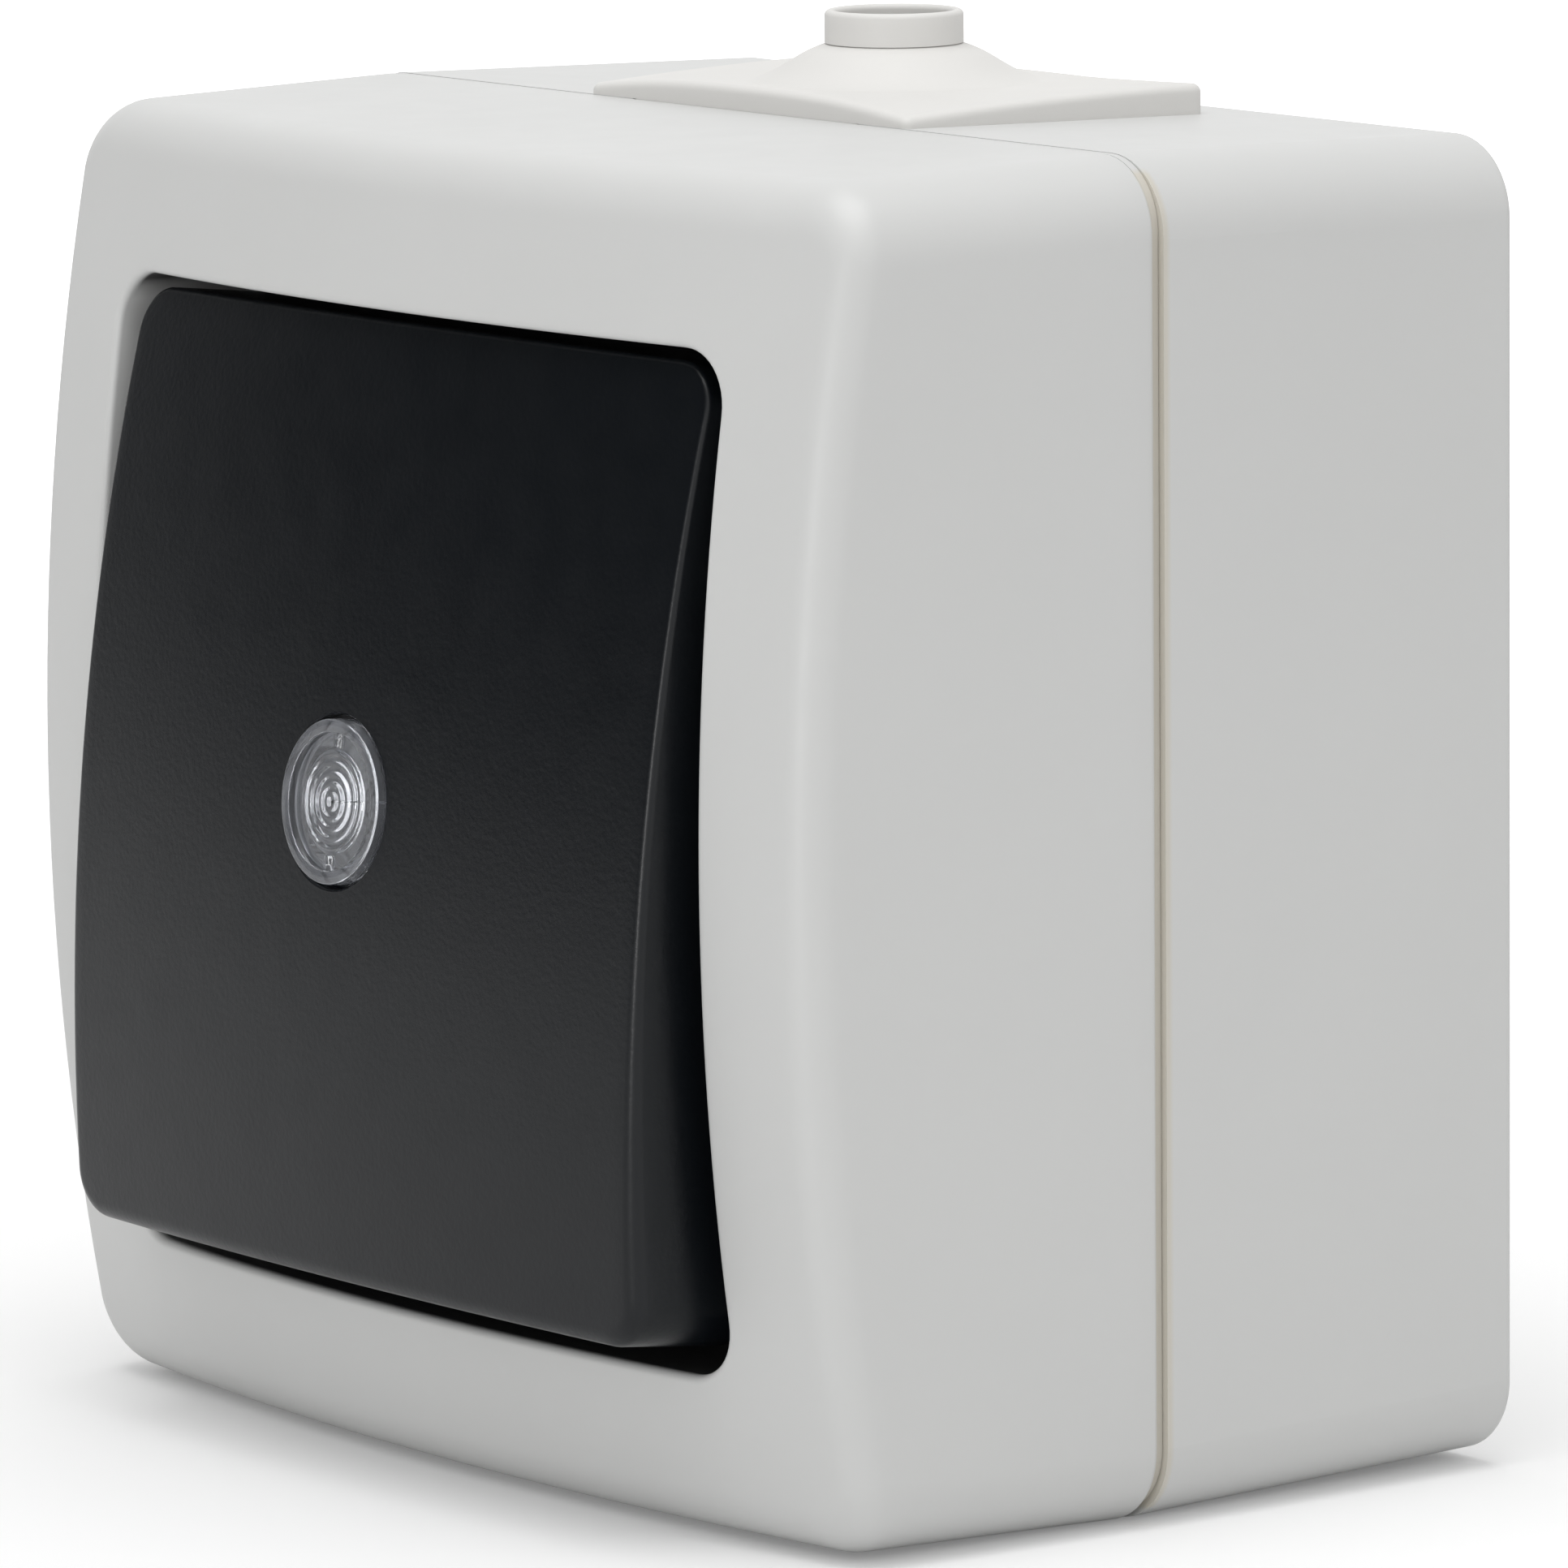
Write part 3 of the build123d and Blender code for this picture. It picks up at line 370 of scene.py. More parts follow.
def edge_arc(wall_points, wall_depth, lean, run, surface, radius, steps):
    """Loops of a rounded edge, from a wall to a curved front that runs away from it.

    lean is how far the wall's points move for each millimetre of depth, and run is the direction of
    the front from each of them.
    """
    depth = surface(wall_points)
    for _ in range(FOOT_ROUNDS):
        foot = wall_points + (depth - wall_depth)[:, None] * lean
        depth = surface(foot)
    slope = np.sum(lean * run, axis=1)
    reach = np.array(radius, float) * np.ones(len(wall_points))
    for _ in range(ARC_ROUNDS):
        touch = foot + reach[:, None] * run
        height = surface(touch)
        rise = (surface(touch + PROBE * run) - height) / PROBE
        corner_depth = (height - rise * reach - rise * slope * depth) / (1 - rise * slope)
        corner = np.stack([slope * (corner_depth - depth), corner_depth], 1)
        down = np.stack([-slope, -np.ones_like(slope)], 1)
        down /= np.linalg.norm(down, axis=1)[:, None]
        along = np.stack([np.ones_like(rise), rise], 1)
        along /= np.linalg.norm(along, axis=1)[:, None]
        half_angle = np.arccos(np.clip(np.sum(down * along, axis=1), -1, 1)) / 2
        tangent = radius / np.tan(half_angle)
        reach = corner[:, 0] + tangent * along[:, 0]
    middle = down + along
    middle /= np.linalg.norm(middle, axis=1)[:, None]
    hub = corner + middle * (radius / np.sin(half_angle))[:, None]
    first = corner + tangent[:, None] * down - hub
    last = corner + tangent[:, None] * along - hub
    sweep = math.pi - 2 * half_angle
    loops = []
    for step in range(steps + 1):
        share = step / steps
        spoke = (
            np.sin((1 - share) * sweep)[:, None] * first + np.sin(share * sweep)[:, None] * last
        ) / np.sin(sweep)[:, None]
        place_on_arc = hub + spoke
        loops.append(at(foot + place_on_arc[:, :1] * run, place_on_arc[:, 1]))
    return loops


def from_front(loop):
    """Frame coordinates of (x, height, depth in front of the wall)."""
    return np.column_stack([loop[:, 0], -loop[:, 2], loop[:, 1]])


def skin(name, loops, to_frame, sharp_above=38.0):
    """Closed mesh of loops, the last joined to the first, in metres."""
    points = np.concatenate([to_frame(loop) for loop in loops]) * MM
    count = LOOP_POINTS
    faces = []
    for ring in range(len(loops)):
        following = (ring + 1) % len(loops)
        for index in range(count):
            beside = (index + 1) % count
            faces.append(
                (
                    ring * count + index,
                    ring * count + beside,
                    following * count + beside,
                    following * count + index,
                )
            )
    mesh = bpy.data.meshes.new(name)
    mesh.from_pydata(points.tolist(), [], faces)
    made = new_object(name, mesh)
    orient(mesh)
    shade(mesh, sharp_above)
    return made


def orient(mesh):
    """Turn all faces outwards."""
    work = bmesh.new()
    work.from_mesh(mesh)
    bmesh.ops.remove_doubles(work, verts=work.verts, dist=MERGE_DISTANCE)
    bmesh.ops.recalc_face_normals(work, faces=work.faces)
    work.to_mesh(mesh)
    work.free()


def shade(mesh, sharp_above):
    """Smooth shading, with edges above an angle kept sharp."""
    mesh.shade_smooth()
    mesh.set_sharp_from_angle(angle=math.radians(sharp_above))


def combine(target, tools, operation):
    """Add closed meshes to a mesh or cut them from it; the tools are used up."""
    for tool in tools:
        modifier = target.modifiers.new(operation.lower(), "BOOLEAN")
        modifier.operation = operation
        modifier.solver = "EXACT"
        modifier.object = tool
        bpy.context.view_layer.update()
        evaluated = target.evaluated_get(bpy.context.evaluated_depsgraph_get())
        result = bpy.data.meshes.new_from_object(evaluated)
        target.modifiers.remove(modifier)
        old = target.data
        target.data = result
        bpy.data.meshes.remove(old)
        bpy.data.objects.remove(tool)


def turned(name, profile, to_frame, centre=(0, 0), segments=64):
    """Solid of revolution of (radius, depth) points about a depth axis, closed at both ends."""
    work = bmesh.new()
    rings = []
    for radius, depth in profile:
        ring = []
        for step in range(segments):
            angle = 2 * math.pi * step / segments
            spot = np.array(
                [[centre[0] + radius * math.cos(angle), centre[1] + radius * math.sin(angle), depth]]
            )
            ring.append(work.verts.new(to_frame(spot)[0] * MM))
        rings.append(ring)
    for lower, upper in zip(rings, rings[1:]):
        for step in range(segments):
            beside = (step + 1) % segments
            work.faces.new((lower[step], lower[beside], upper[beside], upper[step]))
    work.faces.new(rings[0])
    work.faces.new(rings[-1])
    bmesh.ops.recalc_face_normals(work, faces=work.faces)
    mesh = bpy.data.meshes.new(name)
    work.to_mesh(mesh)
    work.free()
    return new_object(name, mesh)


def block(name, low, high, to_frame):
    """Rectangular tool between two corners."""
    corners = np.array(
        [(x, z, d) for x in (low[0], high[0]) for z in (low[1], high[1]) for d in (low[2], high[2])],
        float,
    )
    mesh = bpy.data.meshes.new(name)
    faces = [(0, 1, 3, 2), (4, 6, 7, 5), (0, 4, 5, 1), (2, 3, 7, 6), (0, 2, 6, 4), (1, 5, 7, 3)]
    mesh.from_pydata((to_frame(corners) * MM).tolist(), [], faces)
    orient(mesh)
    return new_object(name, mesh)


def finish_piece(piece, node, material):
    """Give a piece its material and body, and let it stand for its CAD node."""
    piece.data.materials.clear()
    piece.data.materials.append(MATERIALS[material])
    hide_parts(node)
    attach(piece, frame["nodes"][node]["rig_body"])


def node_box(node):
    """Lowest and highest corner of a CAD node, in millimetres."""
    low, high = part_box(node)
    return low / MM, high / MM


# Front cover

SEAM_WIDTH = 0.5
cover_high = node_box("front_cover")[1]
box_low, box_high = node_box("back_box")
half_width, half_height = cover_high.x, cover_high.z
seam_depth = -box_low.y
cover_rear = seam_depth + SEAM_WIDTH
CORNER_RADIUS = 4.4
CORNER_SHRINK = 0.6
WALL = 2.4
SIDE_DRAFT = 0.025
TOP_DRAFT = 0.021
FRONT_BOW_ACROSS = 3.4
FRONT_BOW_UPRIGHT = 4.1
FRONT_CORNER_DEPTH = 45.1
cover_crest = FRONT_CORNER_DEPTH + FRONT_BOW_ACROSS + FRONT_BOW_UPRIGHT
EDGE_RADIUS_SIDE = 2.4
EDGE_RADIUS_TOP = 3.4
RIM_ROUNDING = 0.5
RIM_LESS_ON_TOP = 0.7
TONGUE_INSET = 1.3
LEDGE_INSET = 0.45
LEDGE_RISE = 0.43
LEDGE_CLEARANCE = 0.02
TONGUE_END = -cover_high.y
WINDOW_HALF = (28.7, 27.95)
WINDOW_RADIUS = 3.4
LIP_ROUNDING = 0.4
TRAY_DEPTH = 39.6
TRAY_FLOOR = 1.8
TRAY_WALL = 1.6
TRAY_CHAMFER = 0.3
TRAY_OPENING_HALF = (17.0, 17.5)
TRAY_OPENING_RADIUS = 2.0
COVER_SCREWS = ((24.6, 21.0), (-24.6, -21.0))
BOSS_RADIUS = 4.2
BOSS_END = 24.5
HEAD_SEAT = 37.5
HEAD_HOLE_RADIUS = 3.2
SCREW_HOLE_RADIUS = 1.85
FRONT_SAG_ACROSS = FRONT_BOW_ACROSS / half_width**2
FRONT_SAG_UPRIGHT = FRONT_BOW_UPRIGHT / half_height**2
# Painted shade: near black on the window's walls and the tray, where the gap round the rocker lies in shadow
WINDOW_PAINTED_SHADE = (0.05, 0.05, 0.05)
SEAM_SHADE = (0.6, 0.572, 0.51)
# The painted shade's borders: below the front, into the tray's floor, and at the window's walls; it reaches
# further in at the left, whose wall is lit from the right
SHADE_SOFT = 0.3
PAINTED_SHADE_BELOW_FRONT = 0.6
PAINTED_SHADE_INTO_TRAY = 1.0
PAINTED_SHADE_FROM_LEFT = 1.0
PAINTED_SHADE_LEFT_SOFT = 1.2
PAINTED_SHADE_FROM_RIGHT = 0.25
PAINTED_SHADE_RIGHT_SOFT = 0.2
PAINTED_SHADE_PAST_WINDOW = 0.2
# The cream tint's borders: on the cover and the box beside the seam, and short of the top and bottom
TINT_ON_COVER = 0.15
TINT_ON_BOX = 0.35
TINT_FROM_ENDS = 0.8


def cover_outline(inset, depth):
    """Cover's drafted outline at a depth, inset by a wall."""
    rise = max(0.0, depth - cover_rear)
    return rounded_loop(
        half_width - inset - SIDE_DRAFT * rise,
        half_height - inset - TOP_DRAFT * rise,
        CORNER_RADIUS - CORNER_SHRINK * inset,
    )


def front_cover_loops():
    """Cover's skin: rim, sides, rounded edge, front, window, tray and back through its inside."""
    front = pillow(cover_crest, FRONT_BOW_ACROSS, FRONT_BOW_UPRIGHT, half_width, half_height)
    inside = pillow(cover_crest - WALL, FRONT_BOW_ACROSS, FRONT_BOW_UPRIGHT, half_width, half_height)
    wall_depth = cover_rear + RIM_ROUNDING
    wall_points, outward = cover_outline(0, wall_depth)
    far_points = cover_outline(0, cover_crest)[0]
    lean = (far_points - wall_points) / (cover_crest - wall_depth)
    radius = np.hypot(EDGE_RADIUS_SIDE * outward[:, 0], EDGE_RADIUS_TOP * outward[:, 1])
    edge = edge_arc(wall_points, wall_depth, lean, -outward, front, radius, 12)
    window, window_outward = rounded_loop(*WINDOW_HALF, WINDOW_RADIUS)
    still = np.zeros_like(window)
    lip = edge_arc(window, 0.0, still, window_outward, front, np.full(len(window), LIP_ROUNDING), 8)
    tray_rear = TRAY_DEPTH - TRAY_FLOOR
    tray_corner = rounded_loop(*[h - TRAY_CHAMFER for h in WINDOW_HALF], WINDOW_RADIUS - TRAY_CHAMFER)[0]
    opening = rounded_loop(*TRAY_OPENING_HALF, TRAY_OPENING_RADIUS)[0]
    tray_half = [h + TRAY_WALL for h in WINDOW_HALF]
    tray_outside = rounded_loop(*tray_half, WINDOW_RADIUS + TRAY_WALL)[0]
    inner_wall = cover_outline(WALL, cover_crest - WALL)[0]
    inner_rear = cover_outline(WALL, cover_rear)[0]
    tongue = cover_outline(TONGUE_INSET, cover_rear)[0]
    rim, rim_outward = cover_outline(0, cover_rear)
    upper = np.maximum(0, rim_outward[:, 1])
    ledge = rim - rim_outward * (LEDGE_INSET - LEDGE_RISE * upper)[:, None]
    rounding = RIM_ROUNDING * (1 - RIM_LESS_ON_TOP * upper)
    ledge_rear = seam_depth + LEDGE_CLEARANCE

    loops = [at(tongue, ledge_rear), at(ledge, ledge_rear), at(ledge, cover_rear)]
    for step in range(7):
        turn = math.radians(90 * step / 6)
        inset = rounding * (1 - math.sin(turn))
        depth = cover_rear + rounding * (1 - math.cos(turn))
        loops.append(at(rim - rim_outward * inset[:, None], depth))
    loops += between(loops[-1], edge[0], 12)
    loops += edge
    loops += between(edge[-1], lip[-1], 24, front)
    loops += lip[::-1]
    tray_top = at(window, TRAY_DEPTH + TRAY_CHAMFER)
    loops += between(lip[0], tray_top, 6)
    loops += [tray_top, at(tray_corner, TRAY_DEPTH)]
    loops += between(at(tray_corner, TRAY_DEPTH), at(opening, TRAY_DEPTH), 6)
    loops += [at(opening, TRAY_DEPTH), at(opening, tray_rear), at(tray_outside, tray_rear)]
    loops += [at(tray_outside, inside(tray_outside))]
    edge_inside = at(inner_wall, inside(inner_wall))
    loops += between(loops[-1], edge_inside, 8, inside)
    loops += [edge_inside, at(inner_rear, cover_rear), at(inner_rear, TONGUE_END)]
    loops += [at(tongue, TONGUE_END)]
    return loops


def paint_shade_and_seam_tint(material):
    """Painted shade on the window walls and tray below the front, and a cream seam between cover and box at
    the sides.
    """
    tree = material.node_tree
    shader = tree.nodes["Principled BSDF"]
    colour = shader.inputs["Base Color"].links[0].from_socket
    place = tree.nodes.new("ShaderNodeTexCoord").outputs["Object"]
    apart = tree.nodes.new("ShaderNodeSeparateXYZ")
    tree.links.new(place, apart.inputs[0])
    across, back, up = (apart.outputs[axis] for axis in "XYZ")

    squares = vector_math(tree, "MULTIPLY", place, place)
    bows = (FRONT_SAG_ACROSS / MM, 0, FRONT_SAG_UPRIGHT / MM)
    sag = vector_math(tree, "DOT_PRODUCT", squares, bows)
    buried = number_math(tree, "SUBTRACT", back, sag)
    # Mask of the painted shade, where the gap round the rocker lies in shadow
    window = multiplied(
        tree,
        [
            within(tree, buried, PAINTED_SHADE_BELOW_FRONT - cover_crest, 1, SHADE_SOFT),
            within(tree, back, PAINTED_SHADE_INTO_TRAY - TRAY_DEPTH, -1, SHADE_SOFT),
            within(tree, across, PAINTED_SHADE_FROM_LEFT - WINDOW_HALF[0], 1, PAINTED_SHADE_LEFT_SOFT),
            within(tree, across, WINDOW_HALF[0] - PAINTED_SHADE_FROM_RIGHT, -1, PAINTED_SHADE_RIGHT_SOFT),
            within(tree, up, -WINDOW_HALF[1] - PAINTED_SHADE_PAST_WINDOW, 1, SHADE_SOFT),
            within(tree, up, WINDOW_HALF[1] + PAINTED_SHADE_PAST_WINDOW, -1, SHADE_SOFT),
        ],
    )
    seam = multiplied(
        tree,
        [
            within(tree, back, -cover_rear - TINT_ON_COVER, 1, SHADE_SOFT),
            within(tree, back, TINT_ON_BOX - seam_depth, -1, SHADE_SOFT),
            within(tree, up, TINT_FROM_ENDS - half_height, 1, SHADE_SOFT),
            within(tree, up, half_height - TINT_FROM_ENDS, -1, SHADE_SOFT),
        ],
    )
    # Painted shade laid over the colour in the window's walls and tray
    colour = blend_colours(tree, window, colour, WINDOW_PAINTED_SHADE)
    colour = blend_colours(tree, seam, colour, SEAM_SHADE)
    tree.links.new(colour, shader.inputs["Base Color"])


paint_shade_and_seam_tint(MATERIALS["housing_plastic"])

cover = skin("cover_shell", front_cover_loops(), from_front)
combine(
    cover,
    [
        turned("boss", [(BOSS_RADIUS, BOSS_END), (BOSS_RADIUS, HEAD_SEAT + 1)], from_front, spot)
        for spot in COVER_SCREWS
    ],
    "UNION",
)
combine(
    cover,
    [
        turned(
            "hole",
            [
                (SCREW_HOLE_RADIUS, BOSS_END - 1),
                (SCREW_HOLE_RADIUS, HEAD_SEAT),
                (HEAD_HOLE_RADIUS, HEAD_SEAT),
                (HEAD_HOLE_RADIUS, TRAY_DEPTH + 1),
            ],
            from_front,
            spot,
        )
        for spot in COVER_SCREWS
    ],
    "DIFFERENCE",
)
finish_piece(cover, "front_cover", "housing_plastic")


# Rocker cap, in the frame that tilts with it

PIVOT_DEPTH = 45.08
HALF_SWING = 6.3
ROCKER_HALF = (27.15, 26.7)
ROCKER_RADIUS = 2.8
ROCKER_CREST = 9.1
ROCKER_BOW_ACROSS = 2.48
ROCKER_BOW_UPRIGHT = 4.3
ROCKER_SKIRT = 1.6
ROCKER_SHELL = 2.2
ROCKER_SIDE = 1.8
ROCKER_EDGE_TOP = 0.38
ROCKER_EDGE_BOTTOM = 1.15
LENS_RADIUS = 4.6
LENS_HOLE_RADIUS = 4.86
LENS_HOLE_CHAMFER = 0.12
LENS_SEAT = 8.1
STEM_HOLE_RADIUS = 3.8
CLIP_HALF_WIDTH = 2.5
CLIP_X = 9.0
CLIP_NEAR = 14.0
CLIP_THICKNESS = 1.4
CLIP_END = 1.0
CLIP_HOOK = 0.8
CLIP_BELOW_CREST = 1.6
CLIP_OVERLAP = 0.01


def from_rocker(loop):
    """Frame coordinates of (x, up along the face, height above the pivot axis)."""
    swing = math.radians(HALF_SWING)
    depth = PIVOT_DEPTH + loop[:, 2] * math.cos(swing) - loop[:, 1] * math.sin(swing)
    height = loop[:, 1] * math.cos(swing) + loop[:, 2] * math.sin(swing)
    return np.column_stack([loop[:, 0], -depth, height])


def rocker_loops():
    """Cap's skin: side, edge, face, lens seat, stem hole and back through its hollow."""
    bows = (ROCKER_BOW_ACROSS, ROCKER_BOW_UPRIGHT, half_width, half_height)
    face = pillow(ROCKER_CREST, *bows)
    hollow = pillow(ROCKER_CREST - ROCKER_SHELL, *bows)
    outline, outward = rounded_loop(*ROCKER_HALF, ROCKER_RADIUS)
    low = (ROCKER_HALF[1] - outline[:, 1]) / (2 * ROCKER_HALF[1])
    radius = ROCKER_EDGE_TOP + (ROCKER_EDGE_BOTTOM - ROCKER_EDGE_TOP) * low**2
    edge = edge_arc(outline, 0.0, np.zeros_like(outline), -outward, face, radius, 8)
    seat_edge = circle_loop(LENS_HOLE_RADIUS + LENS_HOLE_CHAMFER, outline)
    seat = circle_loop(LENS_HOLE_RADIUS, outline)
    stem = circle_loop(STEM_HOLE_RADIUS, outline)
    inner_half = [h - ROCKER_SIDE for h in ROCKER_HALF]
    inner = rounded_loop(*inner_half, ROCKER_RADIUS - ROCKER_SIDE / 2)[0]
    loops = [at(outline, -ROCKER_SKIRT)]
    loops += between(loops[0], edge[0], 8)
    loops += edge
    loops += between(edge[-1], at(seat_edge, face(seat_edge)), 30, face)
    loops += [at(seat_edge, face(seat_edge)), at(seat, face(seat) - LENS_HOLE_CHAMFER)]
    loops += [at(seat, LENS_SEAT), at(stem, LENS_SEAT), at(stem, hollow(stem))]
    inner_top = at(inner, hollow(inner))
    loops += between(loops[-1], inner_top, 10, hollow)
    loops += [inner_top, at(inner, -ROCKER_SKIRT)]
    return loops


rocker = skin("rocker_cap", rocker_loops(), from_rocker)
clips = []
for side in (-1, 1):
    for end in (-1, 1):
        near, far = sorted((end * CLIP_NEAR, end * (CLIP_NEAR + CLIP_THICKNESS)))
        hook = sorted((end * (CLIP_NEAR - CLIP_HOOK), end * (CLIP_NEAR + CLIP_THICKNESS)))
        left, right = side * CLIP_X - CLIP_HALF_WIDTH, side * CLIP_X + CLIP_HALF_WIDTH
        leg_end = CLIP_END + CLIP_OVERLAP
        toe_top = CLIP_END + CLIP_HOOK
        leg_top = ROCKER_CREST - CLIP_BELOW_CREST
        leg = block("clip", (left, near, leg_end), (right, far, leg_top), from_rocker)
        toe = block("toe", (left, hook[0], CLIP_END), (right, hook[1], toe_top), from_rocker)
        combine(leg, [toe], "UNION")
        clips.append(leg)
combine(rocker, clips, "UNION")
finish_piece(rocker, "rocker", "rocker_plastic")


# Indicator lens: rim, sunk ring, two ribs and a low dome of fine rings

LENS_TOP = 9.45
LENS_HEAD = 1.3
LENS_STEM_RADIUS = 3.7
LENS_STEM = 1.75
LENS_RIM = 0.75
LENS_SINK = 0.42
LENS_EDGE = 0.14
LENS_RIM_EDGE = 0.08
LENS_HUB = 0.02
LENS_DOME_RADIUS = 2.95
RING_COUNT = 5
RING_STEPS = 8
RING_PITCH = 0.57
RING_HEIGHT = 0.16
DOME_RISE = 0.16
RIB_HALF_WIDTH = 0.3
RIB_FLANK = 0.1
RIB_BELOW_RIM = 0.1
RIB_CLEARANCE = 0.03


def lens_loops():
    """Lens's skin, from the end of its stem over its top to its middle."""
    around = math.pi / 2 + np.arange(LOOP_POINTS) * 2 * math.pi / LOOP_POINTS
    circle = np.stack([np.cos(around), np.sin(around)], 1)
    floor_height = LENS_TOP - LENS_SINK
    head_end = LENS_TOP - LENS_HEAD
    stem_end = head_end - LENS_STEM
    loops = []

    def ring(radius, height):
        loops.append(at(radius * circle, height))

    ring(LENS_HUB, stem_end)
    ring(LENS_STEM_RADIUS, stem_end)
    ring(LENS_STEM_RADIUS, head_end)
    ring(LENS_RADIUS, head_end)
    for step in range(5):
        turn = math.radians(90 * step / 4)
        inset, drop = LENS_EDGE * (1 - math.cos(turn)), LENS_EDGE * (1 - math.sin(turn))
        ring(LENS_RADIUS - inset, LENS_TOP - drop)
    for step in range(4):
        turn = math.radians(90 * step / 3)
        outset, drop = LENS_RIM_EDGE * (1 - math.sin(turn)), LENS_RIM_EDGE * (1 - math.cos(turn))
        ring(LENS_RADIUS - LENS_RIM + outset, LENS_TOP - drop)
    rib_from, rib_to = LENS_RADIUS - LENS_RIM - RIB_CLEARANCE, LENS_DOME_RADIUS + 2 * RIB_CLEARANCE
    for radius in np.linspace(rib_from, rib_to, 8):
        off_rib = np.abs(radius * circle[:, 0])
        rib = np.clip((RIB_HALF_WIDTH - off_rib) / RIB_FLANK, 0, 1) * (LENS_SINK - RIB_BELOW_RIM)
        ring(radius, floor_height + rib)
    steps = RING_COUNT * RING_STEPS
    for step in range(steps):
        radius = LENS_DOME_RADIUS * (1 - step / steps) + LENS_HUB
        wave = 0.5 - 0.5 * math.cos(2 * math.pi * (LENS_DOME_RADIUS - radius) / RING_PITCH)
        dome = DOME_RISE * (1 - (radius / LENS_DOME_RADIUS) ** 2)
        ring(radius, floor_height + RING_HEIGHT * wave + dome)
    return loops


lens = skin("lens_disc", lens_loops(), from_rocker, 60.0)
finish_piece(lens, "indicator_lens", "clear_lens")


# Cable gland: pressed-down flange, cone, collar and the web in the wall's slot

GLAND_HALF = (14.8, 10.65)
GLAND_CORNER = 0.6
GLAND_PLATE = 1.4
GLAND_EDGE = 0.5
GLAND_Y = GLAND_HALF[1] - seam_depth
BOX_TOP_DRAFT = 0.022
FRONT_DROOP = 0.85
REAR_RISE = 0.35
CONE_RADIUS = 8.2
CONE_HEIGHT = 2.1
CONE_TOP_RADIUS = 3.78
CONE_CURVE = 0.05
CONE_STEPS = 12
CONE_BLEND = 4.0
COLLAR_LIFT = 0.02
COLLAR_RADIUS = 3.95
COLLAR_HEIGHT = 1.9
COLLAR_ROUNDING = 0.32
BORE_RADIUS = 3.3
WEB_HALF = (10.5, 8.55)
WEB_CENTRE = (0, WEB_HALF[1] - GLAND_HALF[1])
WEB_RADII = (4.9, 4.9, 0.3, 0.3)
WEB_DEPTH = 2.5
INNER_HALF = (12.3, 7.9)
INNER_CENTRE = (0, 0.35)
INNER_RADIUS = 3.0
INNER_PLATE = 1.3
STEP_BACK = 3.1
STEP_UNDER = 1.1


def from_gland(loop):
    """Frame coordinates of (x, distance back from the gland's middle, height)."""
    return np.column_stack([loop[:, 0], GLAND_Y + loop[:, 1], loop[:, 2]])


def wall_top(points):
    """Height of the box's drafted top wall under a point of the gland."""
    return box_high.z - BOX_TOP_DRAFT * (points[:, 1] + GLAND_HALF[1])


def flange_top(points):
    """Height of the flange's uneven upper face: its front corners are pressed down and its back stands up."""
    back = (points[:, 1] + GLAND_HALF[1]) / (2 * GLAND_HALF[1])
    sideways = np.abs(points[:, 0]) / GLAND_HALF[0]
    droop = FRONT_DROOP * sideways**2.5 * (1 - back) ** 2
    return wall_top(points) + GLAND_PLATE - droop + REAR_RISE * back * sideways**1.5


def gland_loops():
    """Gland's skin: web, flange, cone, collar, bore and the plate inside the wall."""
    flange, outward = rounded_loop(*GLAND_HALF, GLAND_CORNER)
    web = rounded_loop(*WEB_HALF, WEB_RADII, WEB_CENTRE)[0]
    inner = rounded_loop(*INNER_HALF, INNER_RADIUS, INNER_CENTRE)[0]
    middle_top = box_high.z - BOX_TOP_DRAFT * GLAND_HALF[1] + GLAND_PLATE
    loops = [at(web, wall_top(web)), at(flange, wall_top(flange))]
    edge = edge_arc(
        flange, 0.0, np.zeros_like(flange), -outward, flange_top, np.full(len(flange), GLAND_EDGE), 6
    )
    loops += between(loops[-1], edge[0], 3)
    loops += edge
    cone_foot = circle_loop(CONE_RADIUS, flange)

    def blend_height(points):
        away = np.clip((np.linalg.norm(points, axis=1) - CONE_RADIUS) / CONE_BLEND, 0, 1)
        return middle_top * (1 - away) + flange_top(points) * away

    loops += between(edge[-1], at(cone_foot, middle_top), 14, blend_height)
    for step in range(CONE_STEPS + 1):
        share = step / CONE_STEPS
        radius = CONE_RADIUS + (CONE_TOP_RADIUS - CONE_RADIUS) * share
        soft = share - CONE_CURVE * math.sin(2 * math.pi * share)
        loops.append(at(circle_loop(radius, flange), middle_top + CONE_HEIGHT * soft))
    collar_top = middle_top + CONE_HEIGHT + COLLAR_HEIGHT
    collar = circle_loop(COLLAR_RADIUS, flange)
    loops.append(at(collar, middle_top + CONE_HEIGHT + COLLAR_LIFT))
    outer_round, inner_round = COLLAR_ROUNDING, COLLAR_RADIUS - BORE_RADIUS - COLLAR_ROUNDING
    loops += between(loops[-1], at(collar, collar_top - outer_round), 3)
    for step in range(6):
        turn = math.radians(90 * step / 5)
        radius = COLLAR_RADIUS - outer_round * (1 - math.cos(turn))
        loops.append(at(circle_loop(radius, flange), collar_top - outer_round * (1 - math.sin(turn))))
    for step in range(1, 6):
        turn = math.radians(90 * step / 5)
        radius = BORE_RADIUS + inner_round * (1 - math.sin(turn))
        loops.append(at(circle_loop(radius, flange), collar_top - inner_round * (1 - math.cos(turn))))
    bore = circle_loop(BORE_RADIUS, flange)
    under = wall_top(inner) - WEB_DEPTH
    loops.append(at(bore, middle_top - GLAND_PLATE - WEB_DEPTH - INNER_PLATE))
    loops += [at(inner, under - INNER_PLATE), at(inner, under)]
    loops += [at(web, wall_top(web) - WEB_DEPTH)]
    return loops


